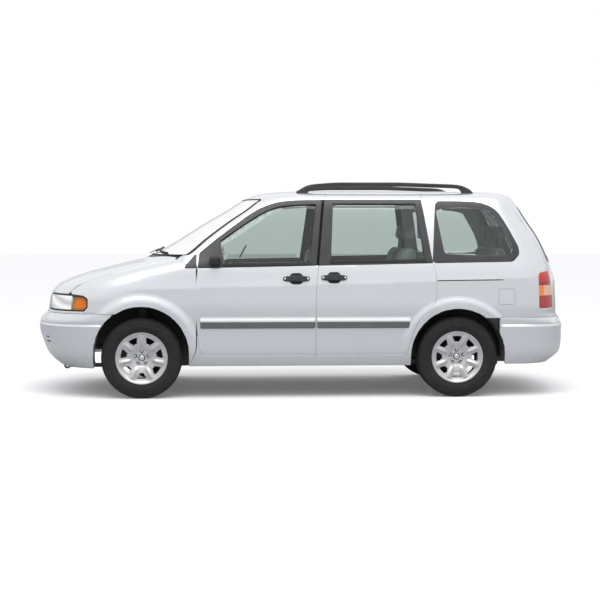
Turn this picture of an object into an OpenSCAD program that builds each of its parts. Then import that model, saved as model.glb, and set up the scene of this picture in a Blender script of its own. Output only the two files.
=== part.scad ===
// Minivan: a five-door family van on four wheels, as separate body panels, glass, cabin and running gear.
// Millimetres. +Z is up, the nose points to -X, the left-hand side faces -Y.
// The origin lies on the ground, under the middle of the vehicle's length.

/* [Overall] */
// Distance between the front and the rear axle
wheelbase = 2680; // [2250:10:3200]
// Front bumper's tip ahead of the front axle
front_overhang = 940; // [850:10:1120]
// Rear bumper's tip behind the rear axle
rear_overhang = 1015; // [900:10:1200]
// Width over the doors
body_w = 1830; // [1600:10:2150]
// Height of the roof's crown above the ground
roof_h = 1768; // [1600:1:2000]
// Height of the belt line, where the side glass starts
belt_h = 1115; // [1080:1:1180]
// Height of the underside of the sills
sill_h = 275; // [240:1:300]

/* [Panels] */
// Gap between two panels
panel_gap = 6; // [5:0.5:9]
// Gap round the hood and the tailgate
lid_gap = 9; // [7:0.5:12]
// Depth of a door below the belt line, from its skin to its inner trim
door_t = 100; // [60:1:120]
// Depth of a door's window frame and of the pillars beside it
frame_t = 44; // [30:1:52]
// Depth of a sill box
sill_t = 170; // [140:1:200]
// Thickness of the roof, hood and tailgate shells
lid_t = 36; // [24:1:48]
// Depth of the front fenders
fender_t = 40; // [24:1:42]
// Thickness of the bumper covers
bumper_t = 60; // [46:1:80]
// Thickness of the glass
glass_t = 5; // [4:0.5:8]
// Clearance of a pane in its frame, and of a fixed piece at its seat
seat_gap = 0.3; // [0.2:0.05:0.5]

/* [Wheels] */
// Outer radius of a tyre
tyre_r = 342; // [300:1:350]
// Width of a tyre
tyre_w = 215; // [165:1:235]
// Radius of the rim where the tyre sits
rim_r = 216; // [180:1:230]
// Distance between the wheels' middle planes on one axle
track = 1570; // [1400:5:1850]
// Radius of the wheel arches
arch_r = 402; // [395:1:420]
// Height of the front arches' centre above the wheels' centre
front_arch_lift = 38; // [0:1:40]
// Height of the rear arches' centre above the wheels' centre
rear_arch_lift = 13; // [0:1:40]
// Radius of the hub's spindle
spindle_r = 28; // [20:1:34]
// Number of windows in a wheel
wheel_windows = 7; // [5:1:9]

/* [Cabin] */
// Height of the cabin floor's upper face
floor_h = 372; // [350:1:400]
// Width of a single seat
seat_w = 500; // [420:5:540]
// Radius of the steering wheel, to the middle of its rim
steering_r = 185; // [165:1:200]
// Lean of the steering column from the horizontal
column_tilt = 28; // [20:1:40]

/* [Hidden] */
$fn = 72;

silver = "#c9cdd2";
dark = "#2b2d30";
glass_green = "#9fb5ad80";
cloth = "#9a9c9a";
rubber = "#1d1d1f";
alloy = "#c4c6c9";
steel = "#6f7276";

// Measured from the middle of the wheelbase, the two axles lie here
front_x = -wheelbase / 2;
rear_x = wheelbase / 2;
// Moves that middle so that the whole length is centred on the origin
centre_shift = (front_overhang - rear_overhang) / 2;
far = 4000;

// The shape was drawn for these sizes, and follows the sizes above in proportion
drawn_front = 940;
drawn_rear = 1015;
drawn_half_w = 915;
drawn_glass_h = 653;
drawn_base = 2680;
function ahead(d) = front_x - d * front_overhang / drawn_front;
function behind(d) = rear_x + d * rear_overhang / drawn_rear;
function aft(d) = front_x + d * wheelbase / drawn_base;
function fore(d) = rear_x - d * wheelbase / drawn_base;
function wide(d) = d * body_w / 2 / drawn_half_w;
function up(d) = belt_h + d * (roof_h - belt_h) / drawn_glass_h;
// Half the width between the sill boxes
cabin_half = wide(drawn_half_w) - sill_t - 4;

// A smooth curve through the points [key, value] of a list, by cubic pieces
function slope(t, i) = let (a = max(i - 1, 0), b = min(i + 1, len(t) - 1))
    (t[b][1] - t[a][1]) / (t[b][0] - t[a][0]);
function piece(t, k, i) = let (h = t[i + 1][0] - t[i][0], s = (k - t[i][0]) / h)
    t[i][1] * (2 * s ^ 3 - 3 * s ^ 2 + 1) + t[i + 1][1] * (3 * s ^ 2 - 2 * s ^ 3)
    + h * (slope(t, i) * (s ^ 3 - 2 * s ^ 2 + s) + slope(t, i + 1) * (s ^ 3 - s ^ 2));
function curve(t, k, i = 0) = k <= t[0][0] ? t[0][1]
    : i >= len(t) - 1 ? t[len(t) - 1][1]
    : k <= t[i + 1][0] ? piece(t, k, i) : curve(t, k, i + 1);

// Half the width, by height
half_widths = [[sill_h - 30, wide(868)], [330, wide(893)], [420, wide(907)], [600, wide(915)],
    [760, wide(915)], [900, wide(905)], [1000, wide(893)], [up(-15), wide(878)], [up(185), wide(830)],
    [up(385), wide(775)], [up(525), wide(733)], [up(565), wide(712)], [up(597), wide(682)],
    [up(620), wide(628)], [up(635), wide(525)], [up(646), wide(350)], [up(653), wide(90)]];
// The nose, hood and windshield on the centreline, by height
nose = [[sill_h - 30, ahead(750)], [300, ahead(822)], [368, ahead(878)], [457, ahead(912)],
    [535, ahead(938)], [613, ahead(940)], [662, ahead(924)], [715, ahead(872)], [800, ahead(858)],
    [880, ahead(838)], [952, ahead(768)], [988, ahead(696)], [1015, ahead(624)], [1060, ahead(480)],
    [1096, ahead(336)], [1132, ahead(192)], [1162, ahead(48)], [up(80), aft(24)],
    [up(188), aft(225)], [up(287), aft(385)], [up(378), aft(530)], [up(459), aft(675)],
    [up(549), aft(820)], [up(586), aft(892)], [up(613), aft(965)], [up(632), aft(1070)],
    [up(640), aft(1140)], [up(649), aft(1255)], [up(653), aft(1640)]];
// The tail on the centreline, by height
tail = [[sill_h - 30, behind(850)], [321, behind(950)], [349, behind(990)], [417, behind(1012)],
    [598, behind(1015)], [632, behind(1008)], [680, behind(968)], [767, behind(962)],
    [964, behind(950)], [1063, behind(930)], [up(109), behind(872)], [up(252), behind(801)],
    [up(359), behind(728)], [up(466), behind(654)], [up(546), behind(592)], [up(575), behind(574)],
    [up(597), behind(552)], [up(615), behind(505)], [up(630), behind(415)], [up(642), behind(262)],
    [up(649), behind(-40)], [up(653), behind(-440)]];
// Where the plan outline starts to round towards the nose and the tail, by height
nose_start = [[300, aft(340)], [800, aft(340)], [1000, aft(500)], [up(-15), aft(690)],
    [up(85), aft(1040)], [up(235), aft(1090)], [up(490), aft(1300)], [up(600), aft(1440)],
    [up(640), aft(1700)], [up(653), aft(1900)]];
tail_start = [[300, behind(-90)], [up(560), behind(-90)], [up(615), behind(-180)],
    [up(640), behind(-400)], [up(653), behind(-700)]];
nose_power = 4.5;
tail_power = 8;
side_power = 2.5;

// The body's outline at height z, drawn in by a depth, as a rounded rectangle in plan
levels = [sill_h - 30, 300, 360, 430, 520, 610, 662, 700, 760, 830, 880, 920, 955, 988, 1015, 1040,
    1062, up(-20), up(12), up(45), up(80), up(130), up(188), up(287), up(378), up(459), up(525), up(562),
    up(590), up(613), up(630), up(641), up(649), up(653)];
turns = [0, 14, 26, 37, 47, 56, 64, 71, 77, 82, 86];
function plan(z, d) = let (
        w = curve(half_widths, z) - d,
        a = curve(nose_start, z),
        b = curve(tail_start, z),
        f = a - curve(nose, z) - d,
        r = curve(tail, z) - b - d,
        nose_half = [for (t = turns) [a - f * cos(t) ^ (2 / nose_power), w * sin(t) ^ (2 / side_power)]],
        tail_half = [for (t = turns) [b + r * cos(t) ^ (2 / tail_power), w * sin(t) ^ (2 / side_power)]],
        half = concat(nose_half, [[a, w], [b, w]], [for (i = [len(turns) - 1 : -1 : 0]) tail_half[i]]))
    concat(half, [for (i = [len(half) - 2 : -1 : 1]) [half[i].x, -half[i].y]]);
// The body as a block, drawn in by a depth on every side
function ring(z, d) = [for (p = plan(z, d)) [p.x, p.y, z - d]];
module block(d = 0) {
    for (i = [0 : len(levels) - 2]) {
        points = concat(ring(levels[i], d), ring(levels[i + 1], d));
        hull() polyhedron(points, [[for (k = [0 : len(points) - 1]) k]]);
    }
}
// The layer of that block between two depths, open below
module shell(outer, inner) {
    difference() {
        block(outer);
        block(inner);
        translate([front_x - far, -far / 2, -far + levels[0] + 0.1]) cube([2 * far, far, far]);
    }
}

// Prisms through the body from a side view (x, z), a front view (y, z) or a top view (x, y)
module side(pts, grow = 0, s = -1) {
    translate([0, s < 0 ? 0 : far, 0]) rotate([90, 0, 0]) linear_extrude(far) offset(delta = grow) polygon(pts);
}
module front(pts, grow, x0, x1) {
    translate([x0, 0, 0]) rotate([90, 0, 90]) linear_extrude(x1 - x0) offset(delta = grow) polygon(pts);
}
module mirrored(s) {
    mirror([0, s < 0 ? 0 : 1, 0]) children();
}
module both() {
    mirrored(-1) children();
    mirrored(1) children();
}
module band(z0, z1) {
    translate([-far, -far / 2, z0]) cube([2 * far, far, z1 - z0]);
}

// Side-view outlines, as [x, z]
split_x = aft(1475);
front_door_pts = [[aft(478), up(-20)], [aft(459), 950], [aft(455), 840], [aft(460), 700], [aft(474), 560],
    [aft(486), 440], [aft(503), 385], [aft(520), sill_h + 96], [split_x - 10, sill_h + 96],
    [split_x - 7, 440], [split_x - 5, 837], [split_x + 3, 1000], [split_x + 20, up(13)],
    [split_x + 74, up(561)], [aft(1290), up(557)], [aft(1150), up(541)], [aft(1050), up(508)],
    [aft(948), up(459)], [aft(850), up(390)], [aft(655), up(245)], [aft(492), up(112)]];
front_glass_pts = [[aft(700), up(12)], [aft(663), up(216)], [aft(848), up(347)], [aft(993), up(439)],
    [aft(1091), up(487)], [aft(1190), up(512)], [aft(1336), up(524)], [split_x + 10, up(528)],
    [split_x - 55, up(22)]];
slide_door_pts = [[split_x - 10, sill_h + 96], [split_x - 7, 440], [split_x - 5, 837], [split_x + 3, 1000],
    [split_x + 20, up(13)], [split_x + 74, up(561)], [fore(300), up(562)], [fore(220), up(51)],
    [fore(190), up(-47)], [fore(184), 860], [fore(196), 800], [fore(231), 760], [fore(328), 664],
    [fore(366), 600], [fore(393), 523], [fore(431), 400], [fore(452), sill_h + 96]];
slide_glass_pts = [[split_x + 122, up(36)], [split_x + 150, up(534)], [fore(348), up(532)], [fore(276), up(50)]];
quarter_glass_pts = [[fore(178), up(484)], [fore(100), up(506)], [behind(45), up(515)], [behind(236), up(497)],
    [behind(313), up(474)], [behind(438), up(277)], [behind(481), up(155)], [behind(462), up(101)],
    [behind(316), up(86)], [fore(111), up(102)]];
// Height of the seam between hood and headlamps, and of the one above the bumpers
lamp_top = 878;
bumper_top = 715;
rear_bumper_top = 676;
// The hood's edge seen from above, from its nose to its rear corner
hood_w = wide(770);
hood_rear = [for (t = [1, 0.9, 0.8, 0.65, 0.5, 0.3, 0]) [aft(5 + 285 * t ^ 3.2), t * hood_w]];
hood_pts = concat([[ahead(1400), 0], [ahead(1400), wide(700)], [ahead(620), wide(728)], [ahead(250), hood_w]],
    hood_rear);
hood_all = concat(hood_pts, [for (i = [len(hood_pts) - 2 : -1 : 1]) [hood_pts[i].x, -hood_pts[i].y]]);
// The same, but open to the sides, for the cowl behind it
hood_all_cut = concat([[ahead(100), -far]], [for (i = [0 : len(hood_rear) - 1]) [hood_rear[i].x, -hood_rear[i].y]],
    [for (i = [len(hood_rear) - 2 : -1 : 0]) hood_rear[i]], [[ahead(100), far]]);
// The windshield's edge seen from the front
screen_base = up(95);
header_z = up(572);
screen_pts = [[wide(796), screen_base], [wide(792), up(110)], [wide(690), up(500)], [wide(664), up(560)],
    [wide(640), header_z]];
screen_depth = 2;
screen_all = concat(screen_pts, [for (i = [len(screen_pts) - 1 : -1 : 0]) [-screen_pts[i].x, screen_pts[i].y]]);
// The roof panel's edge seen from above
roof_half = wide(640);
// The tailgate's edge, and its glass, seen from behind
gate_pts = [[wide(745), rear_bumper_top], [wide(745), up(-70)], [wide(735), up(60)], [wide(690), up(400)],
    [wide(655), up(560)], [wide(640), up(640)]];
gate_all = concat(gate_pts, [for (i = [len(gate_pts) - 1 : -1 : 0]) [-gate_pts[i].x, gate_pts[i].y]]);
gate_glass_pts = [[wide(650), up(45)], [wide(600), up(440)], [wide(540), up(500)], [-wide(540), up(500)],
    [-wide(600), up(440)], [-wide(650), up(45)]];
gate_front_x = behind(485);
// Front end of the rear bumper, and rear end of the front one
rear_bumper_x = behind(360);
front_bumper_x = ahead(250);
// Front corner of the body side over the fender
pillar_x = aft(345);
lamp_pts = [[ahead(1400), lamp_top + 6], [ahead(591), lamp_top + 1], [ahead(483), 868], [ahead(451), 840],
    [ahead(452), 770], [ahead(484), 737], [ahead(763), 737], [ahead(1400), 735]];
tail_lamp_pts = [[behind(703), 757], [behind(700), up(-70)], [behind(760), up(-52)], [behind(1400), up(-44)],
    [behind(1400), 757]];

module at_left_wheel(x) {
    translate([x, -track / 2, tyre_r]) rotate([90, 0, 0]) children();
}
// The round space of one axle's wheels, right across the vehicle
module arch(x, z, grow) {
    translate([x, far / 2, z]) rotate([90, 0, 0]) cylinder(far, r = arch_r + grow);
    translate([x - arch_r - grow, -far / 2, 0]) cube([2 * (arch_r + grow), far, z]);
}
module arches(grow = 0) {
    arch(front_x, tyre_r + front_arch_lift, grow);
    arch(rear_x, tyre_r + rear_arch_lift, grow);
}

// Body sides: sill, pillars, roof side and rear quarter in one pressing
side_pts = [[aft(400), sill_h], [behind(2000), sill_h], [behind(2000), 2200], [pillar_x, 2200],
    [pillar_x, up(28)], [aft(470), up(4)], [aft(470), sill_h + 120]];
hinge_post_pts = [[aft(412), sill_h], [aft(540), sill_h], [aft(540), up(140)], [pillar_x + 10, up(120)],
    [pillar_x + 10, up(20)], [aft(412), up(-40)]];
door_post_pts = [[split_x - 40, sill_h + 20], [split_x + 90, sill_h + 20], [split_x + 140, up(568)],
    [split_x + 20, up(568)]];
door_post_top_pts = [[split_x + 20, up(568)], [split_x + 140, up(568)], [split_x + 140, up(590)],
    [split_x + 20, up(590)]];
post_t = 36;
// Inner face of the post that carries the front door's hinges
post_y = cabin_half + seat_gap;
// Inner face of the roof's side rail, over the doors
cant_y = wide(610);
module side_openings() {
    side(front_door_pts, panel_gap);
    side(slide_door_pts, panel_gap);
    side(quarter_glass_pts);
    arches();
    front(screen_all, 0, -far, aft(1500));
    translate([-far, -roof_half - seat_gap, header_z]) cube([2 * far, far, 400]);
    front(gate_all, lid_gap, gate_front_x - panel_gap, far);
    side(tail_lamp_pts, seat_gap);
    translate([rear_bumper_x - panel_gap, -far / 2, 0]) cube([far, far, rear_bumper_top + panel_gap / 2]);
}
module body_side() {
    difference() {
        union() {
            intersection() {
                shell(0, frame_t);
                side(side_pts);
            }
            intersection() {
                shell(frame_t - 1, sill_t);
                side(side_pts);
                band(sill_h, sill_h + 92);
            }
            intersection() {
                block(fender_t + seat_gap);
                side(hinge_post_pts);
                translate([-far, -far / 2, 0]) cube([far, far / 2 - post_y, far]);
            }
        }
        side_openings();
    }
    // The post between the two doors, which both of them close against
    intersection() {
        shell(door_t + seat_gap, door_t + post_t);
        side(door_post_pts);
        band(0, belt_h + 8);
    }
    intersection() {
        shell(frame_t + seat_gap, door_t + post_t);
        side(door_post_pts);
        translate([-far, -far / 2, belt_h + seat_gap]) cube([2 * far, far / 2 - cant_y, far]);
    }
    intersection() {
        shell(frame_t - 4, door_t + post_t);
        side(door_post_top_pts);
        translate([-far, -far / 2, 0]) cube([2 * far, far / 2 - cant_y, far]);
    }
}
module left_body_side() {
    color(silver) body_side();
}
module right_body_side() {
    color(silver) mirrored(1) body_side();
}

module roof_panel() {
    color(silver) intersection() {
        shell(0, lid_t);
        translate([-far, -roof_half, header_z]) cube([far + gate_front_x - panel_gap, 2 * roof_half, far]);
    }
}

module front_fenders() {
    color(silver) both() difference() {
        intersection() {
            shell(0, fender_t);
            side([[ahead(1400), bumper_top + panel_gap / 2], [ahead(1400), 2000], [pillar_x - panel_gap, 2000],
                [pillar_x - panel_gap, up(22)], [aft(464) - panel_gap, up(-2)],
                [aft(464) - panel_gap, sill_h + 120], [aft(394), sill_h], [front_x, sill_h],
                [front_bumper_x + panel_gap, bumper_top - 100], [front_bumper_x + panel_gap, bumper_top + panel_gap / 2]]);
            band(0, screen_base);
        }
        translate([0, 0, -far / 2]) linear_extrude(far) offset(delta = lid_gap) polygon(hood_all);
        translate([ahead(250), -hood_w - lid_gap, 0]) cube([far, 2 * (hood_w + lid_gap), far]);
        front(screen_all, panel_gap, -far, far);
        side(front_door_pts, panel_gap);
        side(lamp_pts, panel_gap / 2);
        arches();
        translate([ahead(1400), -wide(450), 0]) cube([far, wide(900), lamp_top]);
    }
}

module hood() {
    color(silver) intersection() {
        shell(0, lid_t);
        translate([0, 0, lamp_top + panel_gap]) linear_extrude(far) polygon(hood_all);
        band(0, screen_base);
    }
}

// The lower intake in the bumper
intake_w = 840;
intake_z = 330;
intake_h = 90;
module front_bumper() {
    color(silver) difference() {
        intersection() {
            shell(0, bumper_t);
            translate([-far, -far / 2, sill_h - 25])
                cube([far + front_bumper_x, far, bumper_top - panel_gap / 2 - sill_h + 25]);
        }
        arches(panel_gap);
        translate([-far, -intake_w / 2, intake_z]) cube([far, intake_w, intake_h]);
    }
}

module rear_bumper() {
    color(silver) difference() {
        intersection() {
            shell(0, bumper_t);
            translate([rear_bumper_x, -far / 2, sill_h]) cube([far, far, rear_bumper_top - panel_gap / 2 - sill_h]);
        }
        arches(panel_gap);
    }
}

lamp_inner = wide(446);
lamp_t = 80;
module grille() {
    color(dark) intersection() {
        shell(12, frame_t);
        translate([-far, -lamp_inner + panel_gap, bumper_top + panel_gap / 2])
            cube([far + front_x, 2 * (lamp_inner - panel_gap), lamp_top - bumper_top - panel_gap]);
    }
}

module headlights() {
    color("#d8dcdf") both() difference() {
        intersection() {
            shell(0, lamp_t);
            side(lamp_pts);
        }
        translate([-far, -lamp_inner, 0]) cube([2 * far, 2 * lamp_inner, far]);
    }
}

module tail_lights() {
    color("#b3261e") both() difference() {
        intersection() {
            shell(0, bumper_t);
            side(tail_lamp_pts);
        }
        front(gate_all, lid_gap, 0, far);
    }
}

module windshield() {
    color(glass_green) intersection() {
        shell(screen_depth, screen_depth + glass_t);
        front(screen_all, -seat_gap, -far, aft(1500));
    }
}

module quarter_windows() {
    color(glass_green) both() intersection() {
        shell(10, 10 + glass_t);
        side(quarter_glass_pts, -seat_gap);
    }
}

module tailgate() {
    color(silver) difference() {
        intersection() {
            shell(0, lid_t);
            front(gate_all, 0, gate_front_x, far);
            band(rear_bumper_top + panel_gap / 2, up(660));
        }
        front(gate_glass_pts, 0, gate_front_x, far);
    }
}

module tailgate_window() {
    color(glass_green) intersection() {
        shell(8, 8 + glass_t);
        front(gate_glass_pts, -seat_gap, gate_front_x, far);
    }
}

// Room that the front door's rear edge needs to swing past the sliding door
swing_room = 20;
module front_door() {
    difference() {
        union() {
            intersection() {
                shell(0, door_t);
                side(front_door_pts);
                band(0, belt_h);
            }
            intersection() {
                shell(0, frame_t);
                side(front_door_pts);
                band(belt_h - 1, far);
            }
        }
        side(front_glass_pts);
        // The edge slopes forward with depth, and the frame stands clear
        intersection() {
            block(20);
            translate([split_x - 24, -far / 2, 0]) cube([far, far, belt_h]);
        }
        side([[split_x - swing_room, belt_h - 1], [split_x + 20 - swing_room, up(13)],
            [split_x + 74 - swing_room, up(575)], [split_x + 150, up(575)], [split_x + 100, belt_h - 1]]);
    }
}
module front_left_door() {
    color(silver) front_door();
}
module front_right_door() {
    color(silver) mirrored(1) front_door();
}
module front_window() {
    intersection() {
        shell(14, 14 + glass_t);
        side(front_glass_pts, -seat_gap);
    }
}
module front_left_window() {
    color(glass_green) front_window();
}
module front_right_window() {
    color(glass_green) mirrored(1) front_window();
}

module sliding_door() {
    difference() {
        union() {
            intersection() {
                shell(0, door_t);
                side(slide_door_pts, 0);
                band(0, belt_h);
            }
            intersection() {
                shell(0, frame_t);
                side(slide_door_pts, 0);
                band(belt_h - 1, far);
            }
        }
        side(front_door_pts, panel_gap);
        side(slide_glass_pts);
    }
}
module left_sliding_door() {
    color(silver) sliding_door();
}
module right_sliding_door() {
    color(silver) mirrored(1) sliding_door();
}
module sliding_door_windows() {
    color(glass_green) both() intersection() {
        shell(14, 14 + glass_t);
        side(slide_glass_pts, -seat_gap);
    }
}

mirror_at = [aft(640), -wide(1000), up(80)];
module door_mirror() {
    translate(mirror_at) hull() {
        translate([30, 0, 60]) sphere(22, $fn = 24);
        translate([45, -75, 50]) sphere(20, $fn = 24);
        translate([45, -75, -45]) sphere(20, $fn = 24);
        translate([45, 60, -50]) sphere(20, $fn = 24);
        translate([-40, 40, 20]) sphere(14, $fn = 24);
        translate([-30, -40, -20]) sphere(14, $fn = 24);
    }
    // The arm that carries it on the door's front corner
    difference() {
        translate([mirror_at.x + 20, -wide(960), mirror_at.z - 30]) rotate([-90, 0, 0]) cylinder(wide(150), r = 22, $fn = 24);
        block(-seat_gap);
    }
}
module left_mirror() {
    color(dark) door_mirror();
}
module right_mirror() {
    color(dark) mirrored(1) door_mirror();
}

rail_y = wide(585);
rail_w = 34;
module roof_rails() {
    color(dark) both() difference() {
        translate([0, -rail_y, 0]) rotate([90, 0, 0]) linear_extrude(rail_w, center = true)
            polygon([[aft(1310), up(610)], [aft(1370), up(668)], [aft(1440), up(696)], [aft(1645), up(712)],
                [fore(462), up(713)], [behind(8), up(696)], [behind(78), up(688)], [behind(148), up(653)],
                [behind(184), up(600)], [behind(100), up(600)], [behind(60), up(666)], [behind(8), up(674)],
                [fore(462), up(688)], [aft(1645), up(687)], [aft(1470), up(676)], [aft(1420), up(640)],
                [aft(1400), up(610)]]);
        block(-seat_gap);
    }
}

// Cabin floor with its wheel houses, rear wall and the arms of the rear bumper
floor_t = 46;
floor_under = floor_h - floor_t;
// Inner face of the wheel houses, in front and behind
front_house_y = 490;
rear_house_y = 560;
house_t = 20;
rear_wall_x = behind(740);
bumper_arm_z = 450;
module floor_pan() {
    color("#55585c") difference() {
        union() {
            translate([aft(330), -cabin_half, floor_under]) cube([rear_wall_x - aft(330) + house_t, 2 * cabin_half, floor_t]);
            both() translate([rear_x, -cabin_half, tyre_r + rear_arch_lift]) rotate([-90, 0, 0])
                cylinder(cabin_half - rear_house_y + house_t, r = arch_r + house_t);
            translate([rear_wall_x, -wide(690), floor_under]) cube([house_t, wide(1380), rear_bumper_top - floor_under + 50]);
            // The tailgate closes against this sill
            intersection() {
                translate([rear_wall_x, -200, rear_bumper_top + 10]) cube([far, 400, 40]);
                block(lid_t + seat_gap);
            }
            intersection() {
                both() translate([rear_wall_x, 380, bumper_arm_z]) cube([far, 70, 70]);
                block(bumper_t + seat_gap);
            }
        }
        difference() {
            arches();
            translate([-far, -front_house_y, 0]) cube([far, 2 * front_house_y, far]);
            translate([0, -rear_house_y, 0]) cube([far, 2 * rear_house_y, far]);
        }
        translate([-far, -far / 2, -far]) cube([2 * far, far, far + floor_under]);
    }
}

// Engine bay walls, lamp shelf, wall to the cabin and cowl
apron_y = 470;
apron_t = 16;
wall_x = aft(302);
wall_t = aft(330) - seat_gap - wall_x;
tower_z = tyre_r + front_arch_lift + arch_r + 6;
subframe_z = 215;
subframe_h = 60;
module front_structure() {
    color(dark) difference() {
        union() {
            intersection() {
                union() {
                    translate([wall_x, -apron_y - apron_t, floor_under])
                        cube([wall_t, 2 * (apron_y + apron_t), up(50) - floor_under]);
                    translate([wall_x, -far / 2, tower_z]) cube([wall_t, far, up(50) - tower_z]);
                    // Tops of the wheel houses
                    both() translate([front_x - 140, -far / 2, tower_z]) cube([280, far / 2 - apron_y, 14]);
                    both() translate([ahead(620), -apron_y - apron_t, 430]) cube([wall_x - ahead(620) + 5, apron_t, tower_z - 420]);
                    // Shelf under the lamps, and the bar that the hood closes on
                    translate([ahead(1400), -far / 2, bumper_top - panel_gap / 2 + seat_gap])
                        cube([ahead(420) - ahead(1400), far, 737 - bumper_top + panel_gap / 2 - 2 * seat_gap]);
                }
                block(frame_t + seat_gap);
            }
            intersection() {
                translate([ahead(640), -300, bumper_top + 10]) cube([24, 600, 400]);
                block(lid_t + seat_gap);
            }
            // Cowl under the foot of the windshield
            intersection() {
                shell(screen_depth + glass_t + seat_gap, lid_t - 12);
                translate([aft(5), -hood_w, up(-20)]) cube([pillar_x - seat_gap - aft(5), 2 * hood_w, up(150) - up(-20)]);
            }
            intersection() {
                translate([aft(5), -wide(740), up(36)]) cube([wall_x - aft(5) + wall_t, wide(1480), 24]);
                block(screen_depth + glass_t + seat_gap);
            }
        }
        translate([0, 0, up(-30)]) linear_extrude(far) offset(delta = lid_gap) polygon(hood_all_cut);
        difference() {
            arches();
            translate([-far, -apron_y - apron_t, 0]) cube([2 * far, 2 * (apron_y + apron_t), far]);
        }
    }
    // Legs that carry the subframe
    both() translate([front_x + 120, -apron_y - apron_t, subframe_z])
        cube([70, apron_y + apron_t - subframe_half - seat_gap, 440 - subframe_z]);
}

module dashboard() {
    color("#5a5c60") {
        translate([aft(330), wide(705), 0]) rotate([90, 0, 0]) linear_extrude(wide(1410))
            polygon([[0, up(-320)], [0, up(-60)], [90, up(-10)], [230, up(-5)], [310, up(-50)],
                [325, up(-130)], [270, up(-240)], [150, up(-320)]]);
        translate(steering_at) rotate([0, -90 - column_tilt, 0]) translate([0, 0, column_start]) cylinder(200, r = 30);
    }
}

steering_at = [aft(797), -380, up(18)];
steering_rim = 15;
column_start = 30;
module steering_wheel() {
    color("#3a3b3d") translate(steering_at) rotate([0, -90 - column_tilt, 0]) {
        rotate_extrude() translate([steering_r, 0]) circle(steering_rim, $fn = 24);
        for (a = [90, 210, 330]) {
            rotate([0, 0, a + 90]) translate([30, -18, -8]) cube([steering_r - 40, 36, 16]);
        }
        translate([0, 0, column_start - 44]) cylinder(44 - seat_gap, r = 62);
    }
}

// A seat: cushion, back and head restraint, on a plinth
module seat(w) {
    translate([0, w / 2, 0]) rotate([90, 0, 0]) linear_extrude(w)
        polygon([[0, 230], [0, 330], [40, 370], [300, 365], [460, 345], [490, 360], [590, 880], [610, 930],
            [690, 930], [700, 880], [640, 500], [600, 260], [540, 230]]);
    translate([60, -w / 2 + 40, 0]) cube([440, w - 80, 230]);
}
module restraint(y) {
    translate([655, y, 930]) {
        cylinder(80, r = 9);
        translate([0, 0, 45]) hull() {
            translate([-40, -110, 20]) cube([80, 220, 90]);
            translate([-25, -120, 0]) cube([50, 240, 130]);
        }
    }
}
module front_seats() {
    color(cloth) translate([aft(900), 0, floor_h + seat_gap]) both() translate([0, -380, 0]) {
        seat(seat_w);
        restraint(0);
    }
}
module middle_seats() {
    color(cloth) translate([aft(1680), 0, floor_h + seat_gap]) both() translate([0, -370, 0]) {
        seat(seat_w);
        restraint(0);
    }
}
module rear_bench() {
    color(cloth) translate([fore(190), 0, floor_h + seat_gap]) {
        seat(2 * 530);
        both() restraint(-360);
    }
}

engine_half = 420;
module engine() {
    color("#5b5e61") translate([front_x - 300, -engine_half, subframe_z + subframe_h + seat_gap]) cube([560, 2 * engine_half, 580]);
}

// Cross-member and control arms that carry the front knuckles
subframe_half = 430;
king_y = track / 2 - 85;
arm_z = 225;
arm_h = 37;
knuckle_base = arm_z + arm_h + seat_gap;
// Towing eye ahead of the cross-member
eye_r = 14;
eye_t = 16;
eye_x = ahead(690);
eye_y = 300;
eye_z = 230;
module front_subframe() {
    color(steel) {
        difference() {
            union() {
                translate([eye_x, -eye_y, eye_z - 18]) cube([front_x - 50 - eye_x, eye_t, 36]);
                translate([eye_x, -eye_y + eye_t, eye_z]) rotate([90, 0, 0]) cylinder(eye_t, r = 30);
            }
            translate([eye_x, -eye_y + far / 2, eye_z]) rotate([90, 0, 0]) cylinder(far, r = eye_r);
        }
        translate([front_x - 60, -subframe_half, subframe_z]) cube([260, 2 * subframe_half, subframe_h]);
        both() {
            translate([front_x - 30, -king_y, arm_z]) cube([60, king_y - subframe_half + 20, arm_h]);
            translate([front_x, -king_y, arm_z]) cylinder(arm_h, r = 30);
        }
    }
}
rear_beam_z = 262;
module rear_axle() {
    color(steel) {
        translate([rear_x, track / 2 - 145, rear_beam_z]) rotate([90, 0, 0]) cylinder(track - 290, r = 34);
        both() {
            translate([rear_x - 40, -track / 2 + 112, rear_beam_z - 34]) cube([80, 50, tyre_r + 76 - rear_beam_z]);
            translate([rear_x, -track / 2 + 115, tyre_r]) rotate([90, 0, 0]) cylinder(125, r = spindle_r);
            translate([rear_x - 500, -500, rear_beam_z - 12]) cube([500, 60, 40]);
            translate([rear_x - 500, -500, rear_beam_z - 12]) cube([70, 60, floor_under - seat_gap - rear_beam_z + 12]);
        }
    }
}
// Steered carrier: king post, spindle, and the strut that leans against the wheel house's top
strut_y = 622;
module knuckle() {
    translate([front_x, -king_y, knuckle_base]) cylinder(430 - knuckle_base, r = 30);
    translate([front_x, -king_y, tyre_r]) rotate([90, 0, 0]) cylinder(track / 2 + 8 - king_y, r = spindle_r);
    translate([front_x - 25, -king_y, 400]) cube([50, king_y - strut_y, 30]);
    translate([front_x, -strut_y, 400]) cylinder(tower_z - seat_gap - 400, r = 42);
}
module left_knuckle() {
    color(steel) knuckle();
}
module right_knuckle() {
    color(steel) mirrored(1) knuckle();
}

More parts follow.
